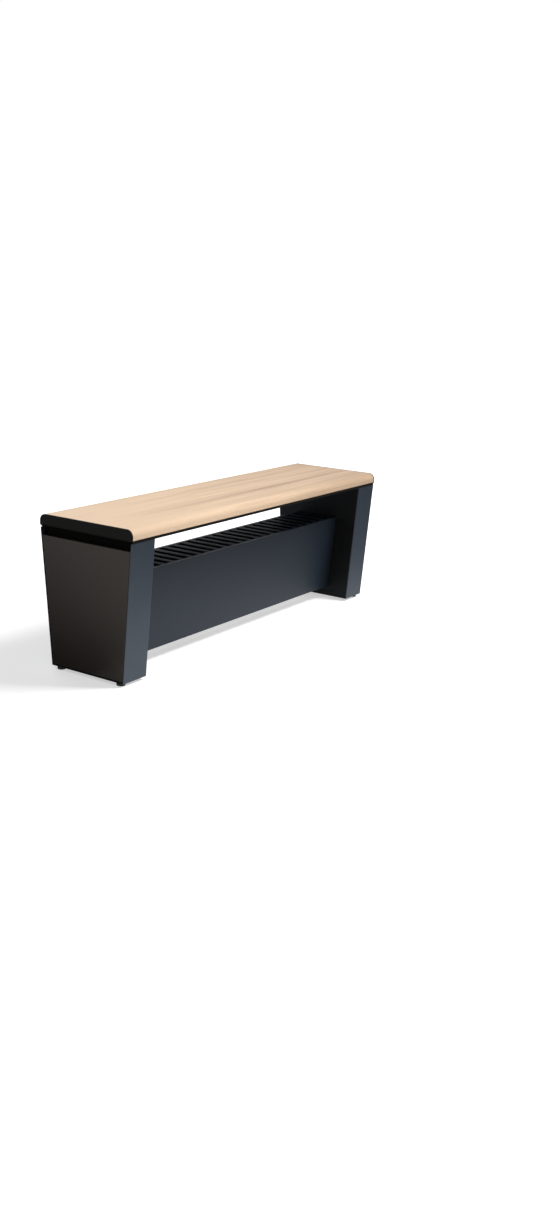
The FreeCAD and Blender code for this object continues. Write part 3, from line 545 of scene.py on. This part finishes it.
def board_section(low, high, face):
    """The (y, z) outline of a board whose outer top edge lies on the front (-1) or rear (1)."""
    outer, inner = (low.y, high.y) if face < 0 else (high.y, low.y)
    outline = [(inner, low.z), (outer, low.z)]
    for i in range(BOARD_ARC_POINTS + 1):
        angle = math.pi / 2 * i / BOARD_ARC_POINTS
        outline.append((outer - face * BOARD_ROUND * (1 - math.cos(angle)),
                        high.z - BOARD_ROUND * (1 - math.sin(angle))))
    outline.append((inner, high.z))
    return outline


def join_rings(shape, first, last):
    """Faces between two rings of as many points."""
    for i in range(len(first)):
        j = (i + 1) % len(first)
        shape.faces.new((first[i], first[j], last[j], last[i]))


def pull_along(shape, outline, start, end):
    """Pulls a (y, z) outline along X and closes both ends."""
    first, last = ([shape.verts.new((x, y, z)) for y, z in outline] for x in (start, end))
    join_rings(shape, first, last)
    shape.faces.new(first)
    shape.faces.new(last)


def make_board(node, face, material):
    low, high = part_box(node)
    outline = board_section(low, high, face)
    mesh = mesh_from(node, lambda shape: pull_along(shape, outline, low.x, high.x))
    return ease_edges(new_piece(node.replace("seat", "oak"), mesh, material, node), BOARD_EASE)


boards = [make_board("seat_board_front", -1, oak_front), make_board("seat_board_rear", 1, oak_rear)]
print("boards:", [piece.name for piece in boards])

# %% [markdown]
# ## Seat plate
# The boards lie on a steel sheet. Its ends are bent up to cover the end grain and are cut to the
# boards' section, so they show as black caps, and the outside of the bend catches the light as a thin
# line. Its long edges are turned down into lips, which draw the dark line under the wood. A tray like
# this could be carved from a block, but following the sheet is closer to how it is folded: the flat
# part is a channel pulled along X, and a strip goes on from each end of it, round the bend and up the
# cap, and narrows along the last of the way to round the cap's corners.

# %% Outline of the seat plate
PLATE_THICKNESS = 0.004
PLATE_INNER_BEND = 0.001
BEND_POINTS = 10
CAP_ARC_POINTS = 14


def channel_outline(half_width, lip_bottom, top):
    """The (y, z) outline of the flat part with its two lips."""
    inner = half_width - PLATE_THICKNESS
    bottom = top - PLATE_THICKNESS
    return [(-half_width, lip_bottom), (-half_width, bottom), (-half_width, top),
            (half_width, top), (half_width, bottom), (half_width, lip_bottom),
            (inner, lip_bottom), (inner, bottom), (-inner, bottom), (-inner, lip_bottom)]


def end_stations(high, top):
    """Points from the end of the flat part to a cap's top: outer, inner and half width."""
    reach = PLATE_THICKNESS + PLATE_INNER_BEND
    bend_x, bend_z = high.x - reach, top + PLATE_INNER_BEND
    stations = []
    for i in range(1, BEND_POINTS + 1):
        angle = math.pi / 2 * i / BEND_POINTS
        along, down = math.sin(angle), math.cos(angle)
        outer = (bend_x + reach * along, bend_z - reach * down)
        inner = (bend_x + PLATE_INNER_BEND * along, bend_z - PLATE_INNER_BEND * down)
        stations.append((outer, inner, high.y))
    for i in range(CAP_ARC_POINTS + 1):
        angle = math.pi / 2 * i / CAP_ARC_POINTS
        z = high.z - BOARD_ROUND * (1 - math.sin(angle))
        width = high.y - BOARD_ROUND * (1 - math.cos(angle))
        stations.append(((high.x, z), (high.x - PLATE_THICKNESS, z), width))
    return stations


plate_low, plate_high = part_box("seat_plate")
sheet_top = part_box("seat_board_front")[0].z
plate_outline = channel_outline(plate_high.y, plate_low.z, sheet_top)
plate_stations = end_stations(plate_high, sheet_top)
print("seat plate: sheet top at", round(sheet_top, 4), "with", len(plate_stations), "stations up each end")

# %% Seat plate
PLATE_EASE = 0.0005


def fold_end(shape, side, ring):
    """Closes the lips at an end of the channel and carries its sheet on along the stations."""
    (front_low, front_under, front_top, rear_top, rear_under, rear_low,
     rear_lip_low, rear_lip, front_lip, front_lip_low) = ring
    shape.faces.new((front_low, front_under, front_lip, front_lip_low))
    shape.faces.new((rear_under, rear_low, rear_lip_low, rear_lip))
    strip = []
    for (outer_x, outer_z), (inner_x, inner_z), width in plate_stations:
        corners = ((outer_x, -width, outer_z), (outer_x, width, outer_z),
                   (inner_x, width, inner_z), (inner_x, -width, inner_z))
        strip.append([shape.verts.new((side * x, y, z)) for x, y, z in corners])
    front_outer, rear_outer, rear_inner, front_inner = strip[0]
    shape.faces.new((front_under, front_lip, rear_lip, rear_under, rear_outer, front_outer))
    shape.faces.new((rear_under, rear_top, rear_inner, rear_outer))
    shape.faces.new((rear_top, front_top, front_inner, rear_inner))
    shape.faces.new((front_top, front_under, front_outer, front_inner))
    for here, onward in zip(strip, strip[1:]):
        join_rings(shape, here, onward)
    shape.faces.new(strip[-1])


def fill_plate(shape):
    bend_x = plate_high.x - PLATE_THICKNESS - PLATE_INNER_BEND
    ends = {side: [shape.verts.new((side * bend_x, y, z)) for y, z in plate_outline] for side in (-1, 1)}
    join_rings(shape, ends[-1], ends[1])
    for side, ring in ends.items():
        fold_end(shape, side, ring)


plate_mesh = mesh_from("seat_plate", fill_plate)
seat_plate = ease_edges(new_piece("folded_seat_plate", plate_mesh, seat_black, "seat_plate"), PLATE_EASE)
print("seat plate:", len(seat_plate.data.polygons), "faces")

# %% [markdown]
# ## Folded sheets
# Legs, casing and end panels are folded sheet. Their shapes are right in the frame, but a cut edge of
# real sheet is never sharp: it is deburred and the paint draws a soft line along it. A copy of the
# node's triangles is merged into one skin, its flat triangles are dissolved into whole faces, and a
# bevel then rounds only what is left of the sharp edges. The faces of a leg that look inwards along
# the bench, in the shade under the seat, get a second, black material as painted shade.

# %% Folded sheets
FLAT_ANGLE = math.radians(0.4)
SHEET_EASE = 0.0004
LOOKS_INWARD = 0.9


def soften_sheet(node):
    """A copy of a node whose sharp sheet edges are eased, in place of the node."""
    shape = bmesh.new()
    shape.from_mesh(nodes[node].data)
    bmesh.ops.remove_doubles(shape, verts=shape.verts, dist=SAME_POINT)
    bmesh.ops.dissolve_limit(shape, angle_limit=FLAT_ANGLE, verts=shape.verts, edges=shape.edges)
    mesh = bpy.data.meshes.new(node)
    shape.to_mesh(mesh)
    shape.free()
    return ease_edges(new_piece(node + "_folded", mesh, finishes[slot_of[node]], node), SHEET_EASE)


def paint_shade_on_inner_side(mesh):
    """Gives the faces of a leg that look towards the middle of the bench a black coat as painted shade."""
    mesh.materials.append(inner_side_painted_shade)
    for face in mesh.polygons:
        if face.normal.x * math.copysign(1, face.center.x) < -LOOKS_INWARD:
            face.material_index = 1


sheet_nodes = [name + side for side in ("_left", "_right")
               for name in ("leg_shell", "leg_head", "leg_base", "end_panel")]
sheet_nodes += ["casing_front", "casing_rear", "grille_frame"]
sheets = [soften_sheet(node) for node in sheet_nodes]
# These coats carry painted shade: the recess, the casing and the grille lie in the shade of the seat.
other_coats = {"leg_head": recess_black_and_shade, "casing": casing_paint_with_painted_shade, "grille": grille_paint_with_painted_shade}
for sheet in sheets:
    for start, coat in other_coats.items():
        if sheet.name.startswith(start):
            sheet.data.materials[0] = coat
    # Painted shade on the sides of the legs that face the casing.
    if sheet.name.startswith("leg_shell"):
        paint_shade_on_inner_side(sheet.data)
print("folded sheets:", len(sheets))

# %% [markdown]
# ## Geometry Nodes
# What repeats is made once and set out by a tree of Geometry Nodes, whose sizes are its named inputs.
# A tree is run on an empty mesh, and its result is then kept as a plain mesh, so the finished piece
# carries no modifier.

# %% Geometry helpers
class Pattern(Tree):
    """A Geometry Nodes tree with named inputs, which can be run and kept as a mesh."""

    def __init__(self, name, inputs):
        super().__init__(bpy.data.node_groups.new(name, "GeometryNodeTree"))
        self.identifiers = {}
        self.values = inputs
        self.tree.interface.new_socket("Geometry", in_out="OUTPUT", socket_type="NodeSocketGeometry")
        for title, value in inputs.items():
            kind = "NodeSocketInt" if isinstance(value, int) else "NodeSocketFloat"
            socket = self.tree.interface.new_socket(title, in_out="INPUT", socket_type=kind)
            self.identifiers[title] = socket.identifier
        self.entry = self.tree.nodes.new("NodeGroupInput")
        self.exit = self.tree.nodes.new("NodeGroupOutput")

    def input(self, title):
        return Signal(self, self.entry.outputs[title])

    def vector(self, x=0.0, y=0.0, z=0.0):
        return self.node("ShaderNodeCombineXYZ", None, {"X": x, "Y": y, "Z": z})

    def moved(self, shape, x=0.0, y=0.0, z=0.0):
        return self.node("GeometryNodeTransform", None, {
            "Geometry": shape, "Translation": self.vector(x, y, z)})

    def join(self, *parts):
        joined = self.node("GeometryNodeJoinGeometry")
        for part in parts:
            self.feed(joined.socket.node.inputs[0], part)
        return joined

    def rows(self, *row_places):
        """Points along X by the inputs Count, Start, Pitch and Height, one line for each row's Y."""
        return self.join(*[self.node("GeometryNodeMeshLine", None, {
            "Count": self.input("Count"),
            "Start Location": self.vector(self.input("Start"), place, self.input("Height")),
            "Offset": self.vector(self.input("Pitch"))}) for place in row_places])

    def set_out(self, points, shape, rotation=(0, 0, 0)):
        return self.node("GeometryNodeInstanceOnPoints", None, {
            "Points": points, "Instance": shape, "Rotation": rotation})

    def end(self, geometry, material):
        realised = self.node("GeometryNodeRealizeInstances", None, {"Geometry": geometry})
        painted = self.node("GeometryNodeSetMaterial", None, {"Geometry": realised, "Material": material})
        self.feed(self.exit.inputs[0], painted)

    def run(self):
        """The mesh that the tree makes with its inputs set, closed and turned outwards."""
        carrier = bpy.data.objects.new("carrier", bpy.data.meshes.new("carrier"))
        bpy.context.scene.collection.objects.link(carrier)
        modifier = carrier.modifiers.new("pattern", "NODES")
        modifier.node_group = self.tree
        for title, value in self.values.items():
            modifier[self.identifiers[title]] = value
        bpy.context.view_layer.update()
        evaluated = carrier.evaluated_get(bpy.context.evaluated_depsgraph_get())
        made = bpy.data.meshes.new_from_object(evaluated)
        bpy.data.objects.remove(carrier)
        mesh = mesh_from(self.tree.name, lambda shape: shape.from_mesh(made))
        mesh.shade_smooth()
        mesh.set_sharp_from_angle(angle=SHARP_ANGLE)
        return mesh


print("geometry helper:", Pattern.__name__)

# %% [markdown]
# ## Grille slats
# The grille is a row of flat slats across the casing, as wide as the slots between them. One slat is
# a rounded rectangle drawn as a curve and swept along a short line, and a line of points sets out the
# rest. The number of slats and their pitch follow from the box of the node.

# %% Grille slats
SLAT_WIDTH = 0.022
SLAT_PITCH = 0.044
SLAT_ROUND = 0.0009
SLAT_ROUND_POINTS = 3
MIDDLE_ROW = 0.0


def slat_pattern(low, high):
    count = round((high.x - low.x - SLAT_WIDTH) / SLAT_PITCH) + 1
    slats = Pattern("slats", {
        "Count": count, "Pitch": SLAT_PITCH, "Width": SLAT_WIDTH, "Thickness": high.z - low.z,
        "Length": high.y - low.y, "Round": SLAT_ROUND, "Start": low.x + SLAT_WIDTH / 2,
        "Height": (low.z + high.z) / 2})
    outline = slats.node("GeometryNodeCurvePrimitiveQuadrilateral", None, {
        "Width": slats.input("Width"), "Height": slats.input("Thickness")})
    section = slats.node("GeometryNodeFilletCurve", {"mode": "POLY"}, {
        "Curve": outline, "Count": SLAT_ROUND_POINTS, "Radius": slats.input("Round")})
    half = slats.input("Length") * 0.5
    spine = slats.node("GeometryNodeCurvePrimitiveLine", None, {
        "Start": slats.vector(y=half * -1), "End": slats.vector(y=half)})
    slat = slats.node("GeometryNodeCurveToMesh", None, {
        "Curve": spine, "Profile Curve": section, "Fill Caps": True})
    slats.end(slats.set_out(slats.rows(MIDDLE_ROW), slat), grille_paint_with_painted_shade)
    return slats


slat_mesh = slat_pattern(*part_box("grille_slats")).run()
grille_row = new_piece("grille_row", slat_mesh, grille_paint_with_painted_shade, "grille_slats")
print(f"{grille_row.name}: {len(slat_mesh.polygons)} faces")

# %% [markdown]
# ## Board screws
# Pan head screws hold the boards from below, in three rows. A round head could be spun in mesh code,
# but a tree can turn it too: a circle of radius one is swept along a short upright line, and the
# sweep's scale follows a rule for the radius on the way up. A six-sided prism is cut out of the head for
# the key, and the rows of points turn each screw upside down.

# %% Turned shapes
TURNED_SIDES = 20
TURNED_STEPS = 6


def turned(pattern, height, radius_at, steps=TURNED_STEPS):
    """A round shape along Z, whose radius is a rule of the way up from 0 to 1."""
    axis = pattern.node("GeometryNodeCurvePrimitiveLine", None, {"End": pattern.vector(z=height)})
    spine = pattern.node("GeometryNodeResampleCurve", None, {"Curve": axis, "Count": steps})
    circle = pattern.node("GeometryNodeCurvePrimitiveCircle", None, {
        "Resolution": TURNED_SIDES, "Radius": 1.0})
    way = pattern.node("GeometryNodeSplineParameter", output="Factor")
    return pattern.node("GeometryNodeCurveToMesh", None, {
        "Curve": spine, "Profile Curve": circle, "Scale": radius_at(way), "Fill Caps": True})


def dome(way, power, fall):
    """A rule for a head: one at its foot, and falling faster towards its top."""
    return (1 - way ** power * fall) ** 0.5


print("turned shapes:", TURNED_SIDES, "sides")

# %% Board screws
SCREW_COLUMNS = 5
SCREW_ROWS = ("Front row", "Middle row", "Rear row")
SCREW_HEAD_RADIUS = 0.005
SCREW_HEAD_HEIGHT = 0.0028
SCREW_RADIUS = 0.0025
SCREW_POINT_POWER = 9
SCREW_POINT_FALL = 0.9
SCREW_KEY_SIDES = 6
SCREW_KEY_RADIUS = 0.0023
SCREW_KEY_DEPTH = 0.0016
UPSIDE_DOWN = (math.pi, 0, 0)


def screw_pattern(low, high):
    seat = low.z + SCREW_HEAD_HEIGHT
    start = low.x + SCREW_HEAD_RADIUS
    screws = Pattern("screws", {
        "Count": SCREW_COLUMNS, "Start": start, "Pitch": -2 * start / (SCREW_COLUMNS - 1), "Height": seat,
        "Head radius": SCREW_HEAD_RADIUS, "Head height": SCREW_HEAD_HEIGHT, "Radius": SCREW_RADIUS,
        "Length": high.z - seat, "Key radius": SCREW_KEY_RADIUS, "Key depth": SCREW_KEY_DEPTH,
        "Front row": low.y + SCREW_HEAD_RADIUS, "Rear row": high.y - SCREW_HEAD_RADIUS,
        "Middle row": board_joint + (plate_high.y - board_joint) / 4})
    head = turned(screws, screws.input("Head height"),
                  lambda way: dome(way, power=3, fall=0.75) * screws.input("Head radius"))
    key = screws.node("GeometryNodeMeshCylinder", None, {
        "Vertices": SCREW_KEY_SIDES, "Radius": screws.input("Key radius"),
        "Depth": screws.input("Key depth") * 2})
    key = screws.moved(key, z=screws.input("Head height"))
    head = screws.node("GeometryNodeMeshBoolean", {"operation": "DIFFERENCE", "solver": "EXACT"}, {
        "Mesh 1": head, "Mesh 2": key})
    shank = turned(screws, screws.input("Length") * -1, lambda way: (
        1 - way ** SCREW_POINT_POWER * SCREW_POINT_FALL) * screws.input("Radius"))
    rows = screws.rows(*[screws.input(row) for row in SCREW_ROWS])
    screws.end(screws.set_out(rows, screws.join(head, shank), UPSIDE_DOWN), finishes["zinc_steel"])
    return screws


screw_mesh = screw_pattern(*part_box("seat_board_screws")).run()
board_screws = new_piece("board_screws", screw_mesh, finishes["zinc_steel"], "seat_board_screws")
print(f"{board_screws.name}: {len(screw_mesh.polygons)} faces")

# %% [markdown]
# ## Rivets
# The cradles under the heat exchanger are riveted to the flanges of the casing. A blind rivet has a low
# domed head below and a set tail above, so both ends are turned shapes on one shank. Two rows of three
# points set them out.

# %% Rivets
RIVET_COLUMNS = 3
RIVET_RADIUS = 0.0024
RIVET_HEAD_RADIUS = 0.0046
RIVET_HEAD_HEIGHT = 0.0012
RIVET_TAIL_RADIUS = 0.0034
RIVET_TAIL_HEIGHT = 0.0020
STRAIGHT_STEPS = 2


def rivet_pattern(low, high):
    start = low.x + RIVET_HEAD_RADIUS
    finish = high.x - RIVET_HEAD_RADIUS
    seat = low.z + RIVET_HEAD_HEIGHT
    rivets = Pattern("rivets", {
        "Count": RIVET_COLUMNS, "Start": start, "Pitch": (finish - start) / (RIVET_COLUMNS - 1),
        "Height": seat, "Row": high.y - RIVET_HEAD_RADIUS, "Radius": RIVET_RADIUS,
        "Head radius": RIVET_HEAD_RADIUS, "Head height": RIVET_HEAD_HEIGHT,
        "Tail radius": RIVET_TAIL_RADIUS, "Tail height": RIVET_TAIL_HEIGHT,
        "Grip": high.z - RIVET_TAIL_HEIGHT - seat})
    head = turned(rivets, rivets.input("Head height") * -1,
                  lambda way: dome(way, power=2, fall=0.85) * rivets.input("Head radius"))
    shank = turned(rivets, rivets.input("Grip"), lambda way: rivets.input("Radius"), STRAIGHT_STEPS)
    tail = turned(rivets, rivets.input("Tail height"),
                  lambda way: dome(way, power=4, fall=0.8) * rivets.input("Tail radius"))
    tail = rivets.moved(tail, z=rivets.input("Grip"))
    rows = rivets.rows(rivets.input("Row"), rivets.input("Row") * -1)
    rivets.end(rivets.set_out(rows, rivets.join(head, shank, tail)), finishes["zinc_steel"])
    return rivets


rivet_mesh = rivet_pattern(*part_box("cradle_rivets")).run()
blind_rivets = new_piece("blind_rivets", rivet_mesh, finishes["zinc_steel"], "cradle_rivets")
print(f"{blind_rivets.name}: {len(rivet_mesh.polygons)} faces")

# %% [markdown]
# ## Fins
# Through the grille the fins of the heat exchanger show. A fin is thin aluminium with four holes, and
# the punch leaves a collar round each hole that grips the tube and spaces the fins. The outline and
# the holes are curves, which are filled and given the sheet's thickness, and a collar is a small
# rectangle swept round a circle. There are about a hundred fins, so each one is kept to few faces.

# %% One fin
HOLE_SIDES = 10
CORNER_POINTS = 2


def fin_sheet(fins, places):
    """The filled outline with its holes, as thick as the sheet."""
    corners = fins.node("GeometryNodeCurvePrimitiveQuadrilateral", None, {
        "Width": fins.input("Fin width"), "Height": fins.input("Fin height")})
    outline = fins.node("GeometryNodeFilletCurve", {"mode": "POLY"}, {
        "Curve": corners, "Count": CORNER_POINTS, "Radius": fins.input("Corner")})
    hole = fins.node("GeometryNodeCurvePrimitiveCircle", None, {
        "Resolution": HOLE_SIDES, "Radius": fins.input("Hole")})
    face = fins.node("GeometryNodeFillCurve", {"mode": "NGONS"}, {
        "Curve": fins.join(outline, *[fins.moved(hole, *place) for place in places])})
    top = fins.node("GeometryNodeExtrudeMesh", {"mode": "FACES"}, {
        "Mesh": face, "Offset Scale": fins.input("Sheet"), "Individual": False})
    bottom = fins.node("GeometryNodeFlipFaces", None, {"Mesh": face})
    return fins.moved(fins.join(top, bottom), z=fins.input("Sheet") * -0.5)


def fin_collars(fins, places):
    """A ring with a rectangular section on one side of each hole."""
    wall = fins.input("Collar wall")
    ring = fins.node("GeometryNodeCurvePrimitiveCircle", None, {
        "Resolution": HOLE_SIDES, "Radius": fins.input("Hole") + wall})
    section = fins.node("GeometryNodeCurvePrimitiveQuadrilateral", None, {
        "Width": wall, "Height": fins.input("Collar length")})
    collar = fins.node("GeometryNodeCurveToMesh", None, {"Curve": ring, "Profile Curve": section})
    collar = fins.moved(collar, z=fins.input("Collar length") * 0.5)
    return fins.join(*[fins.moved(collar, *place) for place in places])


print("fin: holes of", HOLE_SIDES, "sides")

# %% Fins
FIN_SHEET = 0.0005
FIN_PITCH = 0.010
FIN_CORNER = 0.004
HOLE_GAP = 0.00005
COLLAR_WALL = 0.0006
COLLAR_LENGTH = 0.0035
ACROSS_THE_BENCH = (math.pi / 2, 0, math.pi / 2)


def fin_pattern(low, high, tube_low, tube_high):
    tube_radius = (tube_high.y - tube_low.y) / 2
    fins = Pattern("fins", {
        "Count": round((high.x - low.x - FIN_SHEET) / FIN_PITCH) + 1, "Pitch": FIN_PITCH,
        "Start": low.x + FIN_SHEET / 2, "Height": (low.z + high.z) / 2, "Sheet": FIN_SHEET,
        "Fin width": high.y - low.y, "Fin height": high.z - low.z, "Corner": FIN_CORNER,
        "Hole": tube_radius + HOLE_GAP, "Spread": abs(tube_low.y + tube_high.y) / 2,
        "Rise": (tube_high.z - tube_low.z) / 2 - tube_radius,
        "Collar wall": COLLAR_WALL, "Collar length": COLLAR_LENGTH})
    places = [(fins.input("Spread") * side, fins.input("Rise") * level)
              for side in (-1, 1) for level in (-1, 1)]
    fin = fins.node("GeometryNodeTransform", None, {
        "Geometry": fins.join(fin_sheet(fins, places), fin_collars(fins, places)),
        "Rotation": ACROSS_THE_BENCH})
    fins.end(fins.set_out(fins.rows(MIDDLE_ROW), fin), finishes["fin_aluminium"])
    return fins


fin_mesh = fin_pattern(*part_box("exchanger_fins"), *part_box("exchanger_tube_rear")).run()
collared_fins = new_piece("collared_fins", fin_mesh, finishes["fin_aluminium"], "exchanger_fins")
print(f"{collared_fins.name}: {len(fin_mesh.polygons)} faces")

# %% [markdown]
# ## Studio
# The bench stands on a pale floor that runs to the horizon, under a sky that is as pale. Both look
# white to the camera, in gloss and through glass. A glow on those rays alone does that, so it adds no
# light to the bench, and the floor still takes the bench's shadow. Near the bench the lamps light the
# floor as well, so its glow is weaker there and grows further out, where their light fades.

# %% Floor
HALF_FLOOR = 30.0
FLOOR_CORNERS = [(-HALF_FLOOR, -HALF_FLOOR), (HALF_FLOOR, -HALF_FLOOR),
                 (HALF_FLOOR, HALF_FLOOR), (-HALF_FLOOR, HALF_FLOOR)]
FLOOR_HEIGHT = 0.0
FLOOR_GREY = 0.74
GLOW_NEAR = 0.54
GLOW_FAR = 1.0
FADE_STARTS = 1.12
FADE_ENDS = 2.20
WHITE_RAYS = ("Is Camera Ray", "Is Glossy Ray", "Is Transmission Ray")


def to_the_eye(tree):
    """One on the rays that see the backdrop as white, and nothing on the rays that carry light."""
    return sum(tree.node("ShaderNodeLightPath", output=kind) for kind in WHITE_RAYS)


def lay_down(name, corners, height, material):
    """A flat piece of the studio from the (x, y) corners of its outline."""
    mesh = mesh_from(name, lambda shape: shape.faces.new(
        [shape.verts.new((x, y, height)) for x, y in corners]))
    mesh.materials.append(material)
    sheet = bpy.data.objects.new(name, mesh)
    bpy.context.scene.collection.objects.link(sheet)
    return sheet


def floor_paper():
    paper = Finish("studio floor")
    distance = paper.measure("LENGTH", paper.place())
    away = (distance - FADE_STARTS) / (FADE_ENDS - FADE_STARTS)
    glow = paper.blend(away, grey(GLOW_NEAR), grey(GLOW_FAR))
    paper.set(Base_Color=opaque(grey(FLOOR_GREY)), Roughness=0.9, Specular_IOR_Level=0.0,
              Emission_Color=paper.blend(to_the_eye(paper), grey(0.0), glow), Emission_Strength=1.0)
    return paper.material


studio_floor = lay_down("floor", FLOOR_CORNERS, FLOOR_HEIGHT, floor_paper())
print(f"{studio_floor.name}: {HALF_FLOOR * 2} m wide")

# %% [markdown]
# ## Flags
# Dark paint mirrors more than it shows of its own colour, and a white floor would make every side of
# the bench one flat tone. A photographer lays black cloth, a flag, where the paint mirrors the floor,
# and each side then fades from its foot to its top. One flag lies in front of the bench and one beyond
# its left end. Each gets denser along one direction, which softens its edge. Only reflections show
# them: they aren't seen by the camera, take no light from the floor and cast no shadow.

# %% Flags
FLAG_HEIGHT = 0.001
FLAG_BLACK = 0.02
FRONT_CORNERS = [(-3.0, -6.0), (6.0, -6.0), (6.0, 0.0), (-3.0, 0.0)]
FRONT_START = (0.0, 0.0, 0.0)
FRONT_ACROSS = (0.175, -0.47, 0.0)
FRONT_COVER = ((0.10, 0.0), (0.22, 0.36), (0.36, 0.76), (0.60, 0.97))
LEFT_CORNERS = [(-2.6, -0.3), (-0.66, -0.3), (-0.66, 2.6), (-2.6, 2.6)]
LEFT_START = (-2.0, 0.2, 0.0)
LEFT_ACROSS = (0.70, 0.45, 0.0)
LEFT_COVER = ((0.45, 0.0), (0.60, 0.20), (0.75, 0.75), (0.95, 0.97))


def flag_cloth(name, start, across, cover):
    """Black cloth that is clear at its start and denser across, by stops along that direction."""
    cloth = Finish(name)
    way = cloth.measure("DOT_PRODUCT", cloth.place(location=[-part for part in start]), across)
    cloth.set(Base_Color=opaque(grey(FLAG_BLACK)), Roughness=1.0, Specular_IOR_Level=0.0,
              Alpha=cloth.ramp(way, cover))
    return cloth.material


front_cloth = flag_cloth("front flag cloth", FRONT_START, FRONT_ACROSS, FRONT_COVER)
left_cloth = flag_cloth("left flag cloth", LEFT_START, LEFT_ACROSS, LEFT_COVER)
flags = [lay_down("front_flag", FRONT_CORNERS, FLAG_HEIGHT, front_cloth),
         lay_down("left_flag", LEFT_CORNERS, FLAG_HEIGHT, left_cloth)]
for flag in flags:
    flag.visible_camera = False
    flag.visible_diffuse = False
    flag.visible_shadow = False
print("flags:", [flag.name for flag in flags])

# %% [markdown]
# ## Lamps and sky
# A soft lamp high on the front right models the fronts and throws the shadow to the left. A wide one
# behind the bench gives its rear some light, and a small one above the left end evens out the seat. The
# sky gives only a little light of its own, which keeps the shadows open.

# %% Lamps
LAMPS = {
    "key": {"place": (1.3, -2.05, 3.2), "aim": (0, 0, 0.3), "size": (1.6, 1.6), "power": 200},
    "rear": {"place": (1.0, 3.0, 2.0), "aim": (0, 0, 0.3), "size": (2.0, 1.4), "power": 30},
    "overhead": {"place": (-1.4, -0.2, 2.3), "aim": (-0.5, 0, 0.4), "size": (1.0, 1.0), "power": 7},
}


def area_lamp(name, place, aim, size, power):
    data = bpy.data.lights.new(name, "AREA")
    data.shape = "RECTANGLE"
    data.size, data.size_y = size
    data.energy = power
    lamp = bpy.data.objects.new(name, data)
    lamp.location = place
    lamp.rotation_euler = (Vector(aim) - Vector(place)).to_track_quat("-Z", "Y").to_euler()
    bpy.context.scene.collection.objects.link(lamp)
    return lamp


lamps = [area_lamp(name, **facts) for name, facts in LAMPS.items()]
print("lamps:", [lamp.name for lamp in lamps])

# %% Sky
SKY_LIGHT = 0.08
SKY_WHITE = 1.0


def make_sky():
    world = bpy.data.worlds.new("studio sky")
    world.use_nodes = True
    sky = Tree(world.node_tree)
    background = world.node_tree.nodes["Background"]
    sky.feed(background.inputs["Color"], sky.blend(to_the_eye(sky), grey(SKY_LIGHT), grey(SKY_WHITE)))
    sky.feed(background.inputs["Strength"], 1.0)
    return world


bpy.context.scene.world = make_sky()
bpy.context.scene.view_settings.view_transform = "Standard"
print("sky:", bpy.context.scene.world.name)
